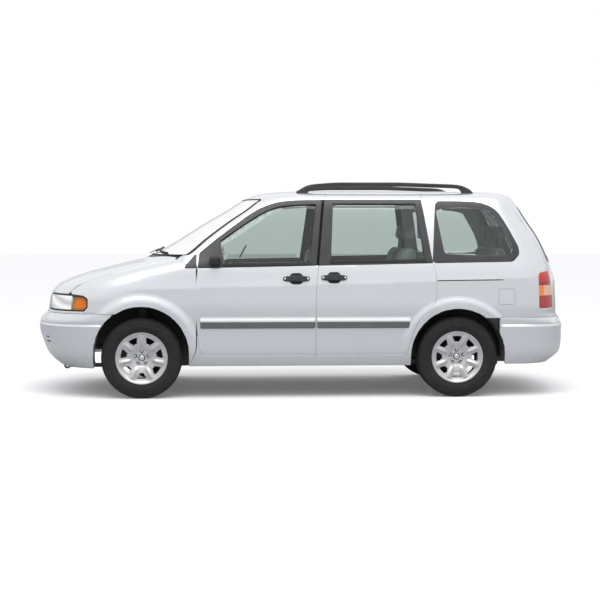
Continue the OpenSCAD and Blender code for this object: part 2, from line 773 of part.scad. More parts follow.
// A wheel: rim, dished face with windows, and hub, as one casting
rim_w = 190;
module wheel() {
    difference() {
        union() {
            rotate_extrude() polygon([[rim_r - 14, -rim_w / 2], [rim_r, -rim_w / 2], [rim_r, rim_w / 2],
                [rim_r - 14, rim_w / 2]]);
            rotate_extrude() polygon([[spindle_r + seat_gap, -40], [72, -40], [72, 10], [150, 52], [rim_r - 8, 64],
                [rim_r - 8, 86], [140, 74], [80, 48], [spindle_r + seat_gap, 48]]);
        }
        for (i = [0 : wheel_windows - 1]) {
            rotate([0, 0, 90 + i * 360 / wheel_windows]) translate([0, 0, -50]) linear_extrude(300)
                polygon([[118, -18], [124, 18], [186, 52], [194, 30], [194, -30], [186, -52]]);
        }
    }
}
module tyre() {
    rotate_extrude() polygon([[rim_r + seat_gap, -tyre_w / 2 + 14], [rim_r + 20, -tyre_w / 2 + 4],
        [(rim_r + tyre_r) / 2, -tyre_w / 2], [tyre_r - 26, -tyre_w / 2 + 5], [tyre_r - 8, -tyre_w / 2 + 16],
        [tyre_r, -tyre_w / 2 + 34], [tyre_r, tyre_w / 2 - 34], [tyre_r - 8, tyre_w / 2 - 16],
        [tyre_r - 26, tyre_w / 2 - 5], [(rim_r + tyre_r) / 2, tyre_w / 2], [rim_r + 20, tyre_w / 2 - 4],
        [rim_r + seat_gap, tyre_w / 2 - 14]]);
}
module front_left_wheel() {
    color(alloy) at_left_wheel(front_x) wheel();
}
module front_right_wheel() {
    color(alloy) mirrored(1) at_left_wheel(front_x) wheel();
}
module rear_left_wheel() {
    color(alloy) at_left_wheel(rear_x) wheel();
}
module rear_right_wheel() {
    color(alloy) mirrored(1) at_left_wheel(rear_x) wheel();
}
module front_left_tyre() {
    color(rubber) at_left_wheel(front_x) tyre();
}
module front_right_tyre() {
    color(rubber) mirrored(1) at_left_wheel(front_x) tyre();
}
module rear_left_tyre() {
    color(rubber) at_left_wheel(rear_x) tyre();
}
module rear_right_tyre() {
    color(rubber) mirrored(1) at_left_wheel(rear_x) tyre();
}

silencer_r = 70;
pipe_r = 26;
module exhaust() {
    color(steel) {
        translate([behind(500), 300, floor_under - seat_gap - silencer_r]) rotate([0, 90, 0]) cylinder(220, r = silencer_r);
        translate([behind(700), 300, sill_h - 40]) rotate([0, 90, 0]) cylinder(behind(930) - behind(700), r = pipe_r);
    }
}

translate([centre_shift, 0, 0]) {
    floor_pan();
    left_body_side();
    right_body_side();
    roof_panel();
    front_structure();
    front_fenders();
    front_bumper();
    rear_bumper();
    grille();
    headlights();
    tail_lights();
    windshield();
    quarter_windows();
    hood();
    tailgate();
    tailgate_window();
    front_left_door();
    front_right_door();
    front_left_window();
    front_right_window();
    left_sliding_door();
    right_sliding_door();
    sliding_door_windows();
    left_mirror();
    right_mirror();
    roof_rails();
    dashboard();
    front_seats();
    middle_seats();
    rear_bench();
    steering_wheel();
    engine();
    front_subframe();
    rear_axle();
    left_knuckle();
    right_knuckle();
    front_left_wheel();
    front_right_wheel();
    rear_left_wheel();
    rear_right_wheel();
    front_left_tyre();
    front_right_tyre();
    rear_left_tyre();
    rear_right_tyre();
    exhaust();
}
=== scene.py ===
# %% [markdown]
# # A family minivan, body panel by body panel
# The van's frame is already packed: each solid has its place, its mass and its joint. This lesson dresses that
# frame. Every body panel is cut flat, its edges are turned over, and it is then pressed onto the body's shape,
# which is how a press shop makes a door skin too. The working unit is the millimetre, from the middle of the
# wheelbase, and each finished piece is scaled to metres at the end.

# %% Load the frame
import math
import bmesh
import bpy
import numpy as np
from mathutils import Matrix, Vector


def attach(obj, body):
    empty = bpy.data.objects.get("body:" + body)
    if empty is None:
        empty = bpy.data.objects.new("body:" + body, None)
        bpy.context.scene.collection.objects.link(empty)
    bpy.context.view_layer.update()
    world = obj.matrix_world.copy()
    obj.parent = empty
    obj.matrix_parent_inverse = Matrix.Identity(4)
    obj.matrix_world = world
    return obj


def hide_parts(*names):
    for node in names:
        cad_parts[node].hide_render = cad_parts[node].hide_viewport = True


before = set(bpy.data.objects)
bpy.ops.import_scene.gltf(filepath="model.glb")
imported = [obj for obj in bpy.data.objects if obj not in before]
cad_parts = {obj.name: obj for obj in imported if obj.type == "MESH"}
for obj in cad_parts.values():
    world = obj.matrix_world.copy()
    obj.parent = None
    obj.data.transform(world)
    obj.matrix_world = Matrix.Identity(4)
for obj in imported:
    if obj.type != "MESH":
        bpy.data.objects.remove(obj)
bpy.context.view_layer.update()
scene = bpy.context.scene

# %% [markdown]
# The camera stands level with the door handles, twelve metres from the left-hand side, a little behind the nose.
# A long lens keeps the wheels round. It comes first, so that every later choice can be judged through it.

# %% Camera
camera_data = bpy.data.cameras.new("side view")
camera_data.lens = 81.27
camera_data.sensor_width = 36.0
camera = bpy.data.objects.new("side view", camera_data)
camera.location = (-0.6175, -12.3, 1.45)
camera.rotation_euler = (math.radians(86.904), 0.0, -math.radians(2.893))
scene.collection.objects.link(camera)
scene.camera = camera
print("camera lens", camera_data.lens, "mm")

# %% [markdown]
# A body surface is easiest to hold as a few curves: how wide the body is at each height, where the nose and the
# tail lie, and where the sides start to round towards them. The same numbers shape the solids in the frame, so
# the pressed panels land exactly on them.

# %% Sizes of the body
SHIFT = -37.5
FRONT, REAR = -1340.0, 1340.0


def ahead(d):
    return FRONT - d


def aft(d):
    return FRONT + d


def behind(d):
    return REAR + d


def fore(d):
    return REAR - d


def up(d):
    return 1115.0 + d


SPLIT = aft(1475)
TYRE_R, TRACK = 342.0, 1570.0
ARCH_R, FRONT_ARCH_Z, REAR_ARCH_Z = 402.0, 380.0, 355.0
GAP, LID_GAP = 6.0, 9.0
print("wheelbase", REAR - FRONT, "mm, split between the doors at", SPLIT)

# %% Curves of the body
HALF_WIDTHS = [(245, 868), (330, 893), (420, 907), (600, 915), (760, 915), (900, 905), (1000, 893), (1100, 878),
               (1300, 830), (1500, 775), (1640, 733), (1680, 712), (1712, 682), (1735, 628), (1750, 525),
               (1761, 350), (1768, 90)]
NOSE = [(245, ahead(750)), (300, ahead(822)), (368, ahead(878)), (457, ahead(912)), (535, ahead(938)),
        (613, ahead(940)), (662, ahead(924)), (715, ahead(872)), (800, ahead(858)), (880, ahead(838)),
        (952, ahead(768)), (988, ahead(696)), (1015, ahead(624)), (1060, ahead(480)), (1096, ahead(336)),
        (1132, ahead(192)), (1162, ahead(48)), (up(80), aft(24)), (up(188), aft(225)), (up(287), aft(385)),
        (up(378), aft(530)), (up(459), aft(675)), (up(549), aft(820)), (up(586), aft(892)), (up(613), aft(965)),
        (up(632), aft(1070)), (up(640), aft(1140)), (up(649), aft(1255)), (up(653), aft(1640))]
TAIL = [(245, behind(850)), (321, behind(950)), (349, behind(990)), (417, behind(1012)), (598, behind(1015)),
        (632, behind(1008)), (680, behind(968)), (767, behind(962)), (964, behind(950)), (1063, behind(930)),
        (up(109), behind(872)), (up(252), behind(801)), (up(359), behind(728)), (up(466), behind(654)),
        (up(546), behind(592)), (up(575), behind(574)), (up(597), behind(552)), (up(615), behind(505)),
        (up(630), behind(415)), (up(642), behind(262)), (up(649), behind(-40)), (up(653), behind(-440))]
NOSE_START = [(300, aft(340)), (800, aft(340)), (1000, aft(500)), (1100, aft(690)), (1200, aft(1040)),
              (1350, aft(1090)), (1605, aft(1300)), (1715, aft(1440)), (1755, aft(1700)), (1768, aft(1900))]
TAIL_START = [(300, behind(-90)), (up(560), behind(-90)), (up(615), behind(-180)), (up(640), behind(-400)),
              (up(653), behind(-700))]
NOSE_POWER, TAIL_POWER, SIDE_POWER = 4.5, 8.0, 2.5


def curve(table, k):
    """A smooth line through (key, value) points."""
    key, value = np.array(table, float).T
    before, after = np.maximum(np.arange(len(key)) - 1, 0), np.minimum(np.arange(len(key)) + 1, len(key) - 1)
    slope = (value[after] - value[before]) / (key[after] - key[before])
    k = np.clip(k, key[0], key[-1])
    i = np.clip(np.searchsorted(key, k) - 1, 0, len(key) - 2)
    h = key[i + 1] - key[i]
    s = (k - key[i]) / h
    return (value[i] * (2 * s**3 - 3 * s**2 + 1) + value[i + 1] * (3 * s**2 - 2 * s**3)
            + h * (slope[i] * (s**3 - 2 * s**2 + s) + slope[i + 1] * (s**3 - s**2)))


def field(x, y, z):
    """Below 0 inside the body, 0 on its skin."""
    a, b = curve(NOSE_START, z), curve(TAIL_START, z)
    nose = np.maximum((a - x) / (a - curve(NOSE, z)), 0) ** NOSE_POWER
    tail = np.maximum((x - b) / (curve(TAIL, z) - b), 0) ** TAIL_POWER
    return nose + tail + (np.abs(y) / curve(HALF_WIDTHS, z)) ** SIDE_POWER - 1


def normal(x, y, z):
    """The way out of the body at a point of its skin."""
    g = np.stack([field(x + 1, y, z) - field(x - 1, y, z), field(x, y + 1, z) - field(x, y - 1, z),
                  field(x, y, z + 1) - field(x, y, z - 1)], 1)
    return g / np.linalg.norm(g, axis=1, keepdims=True)


def side_y(x, z):
    a, b = curve(NOSE_START, z), curve(TAIL_START, z)
    ends = (np.maximum((a - x) / (a - curve(NOSE, z)), 0) ** NOSE_POWER
            + np.maximum((x - b) / (curve(TAIL, z) - b), 0) ** TAIL_POWER)
    return curve(HALF_WIDTHS, z) * np.maximum(1 - ends, 1e-5) ** (1 / SIDE_POWER)


def front_x(y, z):
    a = curve(NOSE_START, z)
    rest = np.maximum(1 - (np.abs(y) / curve(HALF_WIDTHS, z)) ** SIDE_POWER, 1e-6)
    return a - (a - curve(NOSE, z)) * rest ** (1 / NOSE_POWER)


def rear_x(y, z):
    b = curve(TAIL_START, z)
    rest = np.maximum(1 - (np.abs(y) / curve(HALF_WIDTHS, z)) ** SIDE_POWER, 1e-6)
    return b + (curve(TAIL, z) - b) * rest ** (1 / TAIL_POWER)


def top_z(x, y):
    """Height of the skin over a point of the plan, found by halving."""
    x, y = np.broadcast_arrays(np.asarray(x, float), np.asarray(y, float))
    low, high = np.full(x.shape, 716.0), np.full(x.shape, 1768.0)
    for _ in range(26):
        middle = (low + high) / 2
        within = field(x, y, middle) < 0
        low, high = np.where(within, middle, low), np.where(within, high, middle)
    return (low + high) / 2


print("body is", round(2 * float(side_y(0.0, 700.0))), "mm wide at the doors")

# %% [markdown]
# Pressed steel is never plain. A crease runs along the side below the door handles, and a swell rises over each
# wheel. Both catch the light as bright bands, so they are worth more than any colour. They are small moves
# outwards, written as functions of the place on the side.


# %% Crease and wheel arch swells
def smooth(a, b, t):
    s = np.clip((t - a) / (b - a), 0, 1)
    return s * s * (3 - 2 * s)


def crease_z(x):
    return np.interp(x, [-1264, 250, 1146, 1960], [923, 958, 986, 1012])


def swell(x, z):
    """How far the side stands out from the plain body, in millimetres."""
    t = (z - crease_z(x)) / 85
    fold = 6.0 * np.exp(-np.abs(t)) * smooth(-1560, -1180, x) * (1 - smooth(1900, 2040, x))
    front = np.hypot(x - FRONT, z - FRONT_ARCH_Z) - ARCH_R
    rear = np.hypot(x - REAR, z - REAR_ARCH_Z) - ARCH_R
    arches = 17 * (1 - smooth(34, 112, front)) + 12 * (1 - smooth(52, 108, rear))
    return fold + arches * smooth(240, 420, z)


def arc(x0, z0, r, start, end, n=30):
    """Points on a circle of the side view, angles in degrees from the tail side, upwards."""
    return [(x0 + r * math.cos(math.radians(a)), z0 + r * math.sin(math.radians(a)))
            for a in np.linspace(start, end, n)]


print("the crease stands out", round(float(swell(0.0, crease_z(0.0))), 1), "mm")

# %% [markdown]
# ## The press shop
# `flat_sheet` cuts a blank: it starts from a grid, and `bisect_plane` cuts only the faces near each stroke of the
# outline. `hem` turns the edge over in a small round and closes the blank with an inner wall. `press` then bends
# the flat work onto the skin. A boolean on the bent shape would also cut it, but leaves ragged shading.


# %% Cutting a blank
def soften(points, radius):
    """Rounds the corners of an outline, and blends its gentle bends."""
    made = []
    n = len(points)
    for i in range(n):
        p, q, r = (Vector(points[(i + k) % n]) for k in (-1, 0, 1))
        a, b = p - q, r - q
        if a.length < 0.01 or b.length < 0.01:
            continue
        turn = math.pi - a.angle(b)
        if turn < 0.02:
            made.append(tuple(q))
            continue
        reach = 60.0 if turn < 0.6 else radius * math.tan(turn / 2)
        reach = min(reach, 0.45 * a.length, 0.45 * b.length)
        start, end = q + a.normalized() * reach, q + b.normalized() * reach
        steps = max(2, min(7, int(turn / 0.2) + 1))
        for k in range(steps + 1):
            t = k / steps
            made.append(tuple(start * (1 - t) ** 2 + q * 2 * t * (1 - t) + end * t * t))
    return made


def cut(bm, p, q, reach):
    """Cuts the faces near the stroke from p to q along it."""
    p, q = Vector((*p, 0)), Vector((*q, 0))
    along = q - p
    length = along.length
    if length < 0.05:
        return
    along /= length
    across = Vector((-along.y, along.x, 0))
    near = []
    for f in bm.faces:
        t = f.calc_center_bounds() - p
        if abs(t.dot(across)) < reach and -reach < t.dot(along) < length + reach:
            near.append(f)
    geom = near + list({e for f in near for e in f.edges}) + list({v for f in near for v in f.verts})
    bmesh.ops.bisect_plane(bm, geom=geom, dist=0.05, plane_co=p, plane_no=across)


def within(points, outline):
    """Which points lie inside an outline."""
    x, y = points[:, 0], points[:, 1]
    inside = np.zeros(len(points), bool)
    for (ax, ay), (bx, by) in zip(outline, outline[1:] + outline[:1]):
        crosses = (ay > y) != (by > y)
        if ay != by:
            inside ^= crosses & (x < (bx - ax) * (y - ay) / (by - ay) + ax)
    return inside


def flat_sheet(outline, cell, holes=(), folds=()):
    """A flat blank of that outline, with holes, and with extra edges along the folds."""
    low, high = np.array(outline).min(0) - cell * 0.4, np.array(outline).max(0) + cell * 0.4
    size = high - low
    count = np.maximum(np.ceil(size / cell).astype(int), 1)
    bm = bmesh.new()
    bmesh.ops.create_grid(bm, x_segments=int(count[0]), y_segments=int(count[1]), size=0.5)
    bmesh.ops.scale(bm, vec=(size[0], size[1], 1), verts=bm.verts)
    bmesh.ops.translate(bm, vec=(*((low + high) / 2), 0), verts=bm.verts)
    reach = 0.8 * float(np.hypot(*(size / count)))
    for line in folds:
        for p, q in zip(line[:-1], line[1:]):
            cut(bm, p, q, reach)
    for loop in (outline, *holes):
        for p, q in zip(loop, loop[1:] + loop[:1]):
            cut(bm, p, q, reach)
    faces = list(bm.faces)
    middles = np.array([f.calc_center_median()[:2] for f in faces])
    keep = within(middles, outline)
    for hole in holes:
        keep &= ~within(middles, hole)
    bmesh.ops.delete(bm, geom=[f for f, k in zip(faces, keep) if not k], context="FACES")
    bmesh.ops.remove_doubles(bm, verts=bm.verts, dist=0.7)
    return bm


blank = flat_sheet([(0, 0), (200, 0), (200, 100), (0, 100)], 20)
print("a trial blank has", len(blank.faces), "faces")
blank.free()


# %% Turning the edge and closing the blank
def hem(bm, depth, radius=2.5, only=None):
    """Rounds the blank's rim, gives it a wall of that depth and an inner skin."""
    radius = min(radius, depth * 0.4)
    skin = list(bm.faces)
    rim = [e for e in bm.edges if e.is_boundary and (only is None or only(e))]
    outward = {}
    for e in rim:
        a, b = (v.co for v in e.verts)
        n = Vector((b.y - a.y, a.x - b.x, 0)).normalized()
        if n.dot((a + b) / 2 - e.link_faces[0].calc_center_median()) < 0:
            n.negate()
        for v in e.verts:
            outward[v] = outward.get(v, Vector()) + n
    home = {v: (v.co.copy(), n.normalized() if n.length > 1e-6 else Vector()) for v, n in outward.items()}
    inner = bmesh.ops.duplicate(bm, geom=skin)
    faces = [g for g in inner["geom"] if isinstance(g, bmesh.types.BMFace)]
    bmesh.ops.translate(bm, vec=(0, 0, -depth), verts=list({v for f in faces for v in f.verts}))
    bmesh.ops.reverse_faces(bm, faces=faces)
    turns = [(math.sin(a), 1 - math.cos(a)) for a in (math.pi / 6, math.pi / 3, math.pi / 2)]
    places = [(s * radius, d * radius) for s, d in turns] + [(radius, depth - radius), (0.0, depth)]
    edges = rim
    for out, down in places:
        made = bmesh.ops.extrude_edge_only(bm, edges=edges)["geom"]
        new = [g for g in made if isinstance(g, bmesh.types.BMVert)]
        fresh = {}
        for v in new:
            old = next(e.other_vert(v) for e in v.link_edges if e.other_vert(v) in home)
            co, n = home[old]
            fresh[v] = (co, n)
            v.co = co + n * out - Vector((0, 0, down))
        home = fresh
        edges = [g for g in made if isinstance(g, bmesh.types.BMEdge)
                 and g.verts[0] in fresh and g.verts[1] in fresh]
    bmesh.ops.remove_doubles(bm, verts=bm.verts, dist=0.02)


# %% [markdown]
# Each part of the body wants its own flat view. The sides are drawn from the side, the roof from above. The hood,
# the windshield and the tailgate are drawn from the front or the back, with the distance measured along the
# centreline, so that steep and flat parts get rows of the same depth. The bumpers and lamps wrap round a corner, so
# they are drawn as a strip unrolled from the centreline.


# %% The skins to press onto
def profile(table, low, high):
    z = np.linspace(low, high, 900)
    x = curve(table, z)
    return z, np.concatenate([[0], np.cumsum(np.hypot(np.diff(x), np.diff(z)))])


NOSE_Z, NOSE_S = profile(NOSE, 700, 1768)
TAIL_Z, TAIL_S = profile(TAIL, 600, 1768)


def nose_run(z):
    return float(np.interp(z, NOSE_Z, NOSE_S))


def tail_run(z):
    return float(np.interp(z, TAIL_Z, TAIL_S))


def plan_line(z, rear):
    """The outline at one height, from the centreline to the side: its length so far, x and y."""
    t = (1 - np.linspace(1, 0, 260) ** 2) * math.pi / 2
    y = curve(HALF_WIDTHS, z) * np.sin(t) ** (2 / SIDE_POWER)
    if rear:
        b = curve(TAIL_START, z)
        x = b + (curve(TAIL, z) - b) * np.cos(t) ** (2 / TAIL_POWER)
    else:
        a = curve(NOSE_START, z)
        x = a - (a - curve(NOSE, z)) * np.cos(t) ** (2 / NOSE_POWER)
    return np.concatenate([[0], np.cumsum(np.hypot(np.diff(x), np.diff(y)))]), x, y


WRAP_END = {False: ahead(250), True: behind(360)}
WRAP = {rear: float(np.interp(abs(WRAP_END[rear]), np.abs(plan_line(600.0, rear)[1])[::-1],
                              plan_line(600.0, rear)[0][::-1])) for rear in (False, True)}


def strip_u(z, rear, x=None, y=None):
    """Where a point of the outline lies along the unrolled strip."""
    s, px, py = plan_line(z, rear)
    end = np.interp(abs(WRAP_END[rear]), np.abs(px)[::-1], s[::-1])
    here = np.interp(abs(x), np.abs(px)[::-1], s[::-1]) if y is None else np.interp(y, py, s)
    return float(here / end * WRAP[rear])


def strip_skin(u, z, rear):
    p = np.zeros((len(u), 3))
    for i, (a, h) in enumerate(zip(u, z)):
        s, px, py = plan_line(h, rear)
        end = np.interp(abs(WRAP_END[rear]), np.abs(px)[::-1], s[::-1])
        at = abs(a) / WRAP[rear] * end
        p[i] = np.interp(at, s, px), math.copysign(np.interp(at, s, py), a), h
    return p, normal(*p.T)


def side_skin(x, z):
    y = -side_y(x, z)
    n = normal(x, y, z)
    return np.stack([x, y - swell(x, z), z], 1), n


def front_skin(y, s):
    z = np.interp(s, NOSE_S, NOSE_Z)
    p = np.stack([front_x(y, z), y, z], 1)
    return p, normal(*p.T)


def rear_skin(y, s):
    z = np.interp(s, TAIL_S, TAIL_Z)
    p = np.stack([rear_x(y, z), y, z], 1)
    return p, normal(*p.T)


def roof_z(x, y):
    """The roof, with an even crown over its middle."""
    edge = 350.0
    outer = top_z(x, np.maximum(np.abs(y), edge))
    crown = top_z(x, np.zeros_like(y)) - top_z(x, np.full_like(y, edge))
    return outer + crown * np.maximum(1 - (y / edge) ** 2, 0)


def roof_skin(x, y):
    z = roof_z(x, y)
    n = np.stack([roof_z(x - 4, y) - roof_z(x + 4, y), roof_z(x, y - 4) - roof_z(x, y + 4), np.full_like(z, 8.0)], 1)
    return np.stack([x, y, z], 1), n / np.linalg.norm(n, axis=1, keepdims=True)


SKINS = {"side": side_skin, "front": front_skin, "rear": rear_skin, "roof": roof_skin,
         "nose strip": lambda u, z: strip_skin(u, z, False), "tail strip": lambda u, z: strip_skin(u, z, True)}


def press(bm, skin, below=0.0, shape=None):
    """Bends flat work onto a skin, with its outer face that far below it."""
    verts = list(bm.verts)
    co = np.array([v.co[:] for v in verts])
    p, n = SKINS[skin](co[:, 0], co[:, 1])
    depth = below - co[:, 2]
    if shape is not None:
        depth = shape(co[:, 0], co[:, 1], depth)
    for v, c in zip(verts, p - n * depth[:, None]):
        v.co = c


print("strips are", {("rear" if k else "front"): round(v) for k, v in WRAP.items()}, "mm from the centreline")
# %% [markdown]
# ## Finishes
# Silver paint is three things at once: a grey metallic base with flakes, a slight waviness, and a clear coat that
# keeps its own sharp reflection. Effects that several finishes share, such as fine bumps, dust that settles low on
# the body, and weave, are node groups. Each gives only a mask or a normal, and the shader stays in the material.


# %% Small helpers for nodes
def new_group(name, inputs, outputs):
    tree = bpy.data.node_groups.new(name, "ShaderNodeTree")
    for label, value in inputs:
        tree.interface.new_socket(label, in_out="INPUT", socket_type="NodeSocketFloat").default_value = value
    for label, kind in outputs:
        tree.interface.new_socket(label, in_out="OUTPUT", socket_type=kind)
    return tree, tree.nodes.new("NodeGroupInput"), tree.nodes.new("NodeGroupOutput")


def node(tree, kind, links=(), **values):
    """A node with its settings and inputs; links are (input, output socket)."""
    made = tree.nodes.new(kind)
    for key, value in values.items():
        if key in made.bl_rna.properties:
            setattr(made, key, value)
        else:
            made.inputs[key.replace("_", " ")].default_value = value
    for socket, source in links:
        tree.links.new(source, made.inputs[socket])
    return made


def place(tree):
    return node(tree, "ShaderNodeTexCoord").outputs["Object"]


# %% Shared effects
bumps, g_in, g_out = new_group("Fine bumps", [("Scale", 400.0), ("Strength", 0.1), ("Distance", 0.001)],
                               [("Normal", "NodeSocketVector")])
noise = node(bumps, "ShaderNodeTexNoise", [("Vector", place(bumps)), ("Scale", g_in.outputs["Scale"])], Detail=3.0)
bump = node(bumps, "ShaderNodeBump", [("Height", noise.outputs["Fac"]), ("Strength", g_in.outputs["Strength"]),
                                      ("Distance", g_in.outputs["Distance"])])
bumps.links.new(bump.outputs["Normal"], g_out.inputs["Normal"])

clouds, g_in, g_out = new_group("Uneven tone", [("Scale", 8.0), ("Low", 0.0), ("High", 1.0)],
                                [("Value", "NodeSocketFloat")])
noise = node(clouds, "ShaderNodeTexNoise", [("Vector", place(clouds)), ("Scale", g_in.outputs["Scale"])], Detail=5.0)
span = node(clouds, "ShaderNodeMapRange", [("Value", noise.outputs["Fac"]), ("To Min", g_in.outputs["Low"]),
                                           ("To Max", g_in.outputs["High"])])
span.inputs["From Min"].default_value, span.inputs["From Max"].default_value = 0.3, 0.7
clouds.links.new(span.outputs["Result"], g_out.inputs["Value"])

dust, g_in, g_out = new_group("Road dust", [("Height", 0.45), ("Amount", 0.5)], [("Mask", "NodeSocketFloat")])
axes = node(dust, "ShaderNodeSeparateXYZ", [("Vector", place(dust))])
low = node(dust, "ShaderNodeMapRange", [("Value", axes.outputs["Z"]), ("From Max", g_in.outputs["Height"])])
low.inputs["From Min"].default_value = 0.22
low.inputs["To Min"].default_value, low.inputs["To Max"].default_value = 1.0, 0.0
noise = node(dust, "ShaderNodeTexNoise", [("Vector", place(dust))], Scale=23.0, Detail=6.0)
part = node(dust, "ShaderNodeMath", [(0, low.outputs["Result"]), (1, noise.outputs["Fac"])], operation="MULTIPLY")
part = node(dust, "ShaderNodeMath", [(0, part.outputs[0]), (1, g_in.outputs["Amount"])], operation="MULTIPLY")
dust.links.new(part.outputs[0], g_out.inputs["Mask"])

weave, g_in, g_out = new_group("Weave", [("Scale", 260.0)], [("Mask", "NodeSocketFloat"),
                                                             ("Normal", "NodeSocketVector")])
threads = []
for axis in ("X", "Z"):
    wave = node(weave, "ShaderNodeTexWave", [("Vector", place(weave)), ("Scale", g_in.outputs["Scale"])],
                bands_direction=axis, Distortion=1.2, Detail=1.0)
    threads.append(wave.outputs["Fac"])
cross = node(weave, "ShaderNodeMath", [(0, threads[0]), (1, threads[1])], operation="MULTIPLY")
bump = node(weave, "ShaderNodeBump", [("Height", cross.outputs[0])], Strength=0.5, Distance=0.002)
weave.links.new(cross.outputs[0], g_out.inputs["Mask"])
weave.links.new(bump.outputs["Normal"], g_out.inputs["Normal"])
print("shared effects:", [g.name for g in bpy.data.node_groups])


# %% Materials from those effects
def effect(tree, group, **values):
    made = tree.nodes.new("ShaderNodeGroup")
    made.node_tree = group
    for key, value in values.items():
        made.inputs[key].default_value = value
    return made


def blend(tree, factor, a, b):
    """A colour between a and b; either may be a colour or a socket."""
    mix = tree.nodes.new("ShaderNodeMix")
    mix.data_type = "RGBA"
    tree.links.new(factor, mix.inputs[0])
    for socket, colour in ((mix.inputs[6], a), (mix.inputs[7], b)):
        if isinstance(colour, tuple):
            socket.default_value = (*colour, 1.0)
        else:
            tree.links.new(colour, socket)
    return mix.outputs[2]


def material(name, **values):
    made = bpy.data.materials.new(name)
    made.use_nodes = True
    shader = made.node_tree.nodes["Principled BSDF"]
    for key, value in values.items():
        shader.inputs[key.replace("_", " ")].default_value = value
    return made, made.node_tree, shader


def surface(name, light, dark, rough, grain=(400.0, 0.1, 0.001), tone=6.0, dirt=0.0, **values):
    """A finish with two close tones, a grain, a varying roughness and some dust."""
    made, tree, shader = material(name, **values)
    cloud = effect(tree, clouds, Scale=tone)
    colour = blend(tree, cloud.outputs["Value"], dark, light)
    if dirt:
        colour = blend(tree, effect(tree, dust, Amount=dirt, Height=0.5).outputs["Mask"], colour, (0.23, 0.21, 0.18))
    tree.links.new(colour, shader.inputs["Base Color"])
    tree.links.new(effect(tree, clouds, Scale=tone * 4, Low=rough - 0.05, High=rough + 0.07).outputs["Value"],
                   shader.inputs["Roughness"])
    tree.links.new(effect(tree, bumps, Scale=grain[0], Strength=grain[1], Distance=grain[2]).outputs["Normal"],
                   shader.inputs["Normal"])
    return made


paint, tree, shader = material("silver paint", Metallic=0.72, Coat_Weight=1.0, Coat_Roughness=0.025, Coat_IOR=1.5)
flakes = node(tree, "ShaderNodeTexVoronoi", [("Vector", place(tree))], Scale=1400.0)
shade = node(tree, "ShaderNodeSeparateColor", [("Color", flakes.outputs["Color"])])
colour = blend(tree, shade.outputs["Red"], (0.66, 0.68, 0.71), (0.78, 0.795, 0.82))
colour = blend(tree, effect(tree, dust, Amount=0.55, Height=0.42).outputs["Mask"], colour, (0.30, 0.28, 0.25))
tree.links.new(colour, shader.inputs["Base Color"])
tree.links.new(effect(tree, clouds, Scale=5.0, Low=0.2, High=0.27).outputs["Value"], shader.inputs["Roughness"])
tree.links.new(effect(tree, bumps, Scale=90.0, Strength=0.035, Distance=0.001).outputs["Normal"],
               shader.inputs["Normal"])

frame_black = surface("black window frame", (0.042, 0.042, 0.045), (0.03, 0.03, 0.032), 0.34, (900, 0.06, 0.0005))
strip_grey = surface("grey moulding", (0.125, 0.127, 0.132), (0.10, 0.102, 0.107), 0.5, (1500, 0.12, 0.0005), dirt=0.3)
plastic = surface("black grained plastic", (0.022, 0.022, 0.024), (0.014, 0.014, 0.015), 0.42, (1300, 0.2, 0.0006))
rail_black = surface("rail black", (0.03, 0.031, 0.033), (0.02, 0.02, 0.022), 0.36, (1600, 0.12, 0.0005))
rubber = surface("tyre rubber", (0.0085, 0.0085, 0.009), (0.0055, 0.0055, 0.006), 0.75, (700, 0.25, 0.0008), dirt=0.05)
seal = surface("rubber seal", (0.016, 0.016, 0.017), (0.010, 0.010, 0.011), 0.6, (900, 0.15, 0.0005))
alloy = surface("painted alloy", (0.66, 0.665, 0.67), (0.56, 0.565, 0.575), 0.33, (500, 0.06, 0.0006), dirt=0.35,
                Metallic=0.85, Coat_Weight=0.35, Coat_Roughness=0.12)
steel = surface("dull steel", (0.30, 0.30, 0.30), (0.16, 0.15, 0.145), 0.5, (300, 0.3, 0.002), dirt=0.6, Metallic=0.8)
under = surface("underbody coating", (0.05, 0.05, 0.052), (0.025, 0.025, 0.027), 0.75, (200, 0.5, 0.002), dirt=0.9)
cast = surface("cast metal", (0.30, 0.31, 0.32), (0.18, 0.185, 0.19), 0.55, (350, 0.4, 0.002), dirt=0.5, Metallic=0.6)
cabin_grey = surface("cabin plastic", (0.33, 0.335, 0.335), (0.27, 0.275, 0.275), 0.55, (1100, 0.25, 0.0006))
cabin_dark = surface("dark cabin plastic", (0.075, 0.077, 0.08), (0.055, 0.056, 0.06), 0.55, (1100, 0.25, 0.0006))
felt = surface("roof lining", (0.58, 0.58, 0.56), (0.50, 0.50, 0.485), 0.95, (1800, 0.5, 0.001))
carpet = surface("carpet", (0.085, 0.086, 0.088), (0.05, 0.051, 0.053), 0.95, (900, 0.9, 0.003))
chrome = surface("bright metal", (0.75, 0.75, 0.76), (0.68, 0.68, 0.69), 0.14, (200, 0.03, 0.0005), Metallic=1.0)
plate_white = surface("blank plate", (0.72, 0.72, 0.70), (0.66, 0.66, 0.64), 0.4, (600, 0.05, 0.0004))

cloth, tree, shader = material("seat cloth", Sheen_Weight=0.35, Sheen_Roughness=0.5)
threads = effect(tree, weave, Scale=170.0)
colour = blend(tree, threads.outputs["Mask"], (0.20, 0.21, 0.205), (0.36, 0.37, 0.36))
tree.links.new(blend(tree, effect(tree, clouds, Scale=3.0).outputs["Value"], colour, (0.29, 0.30, 0.295)),
               shader.inputs["Base Color"])
tree.links.new(effect(tree, clouds, Scale=40.0, Low=0.85, High=0.98).outputs["Value"], shader.inputs["Roughness"])
tree.links.new(threads.outputs["Normal"], shader.inputs["Normal"])
print("finishes so far:", len(bpy.data.materials))


# %% [markdown]
# Car glass is a tinted transmissive shader. Rays that only carry shadow go through a plain transparent shader with
# the same tint, or the cabin would render nearly black behind clear glass.


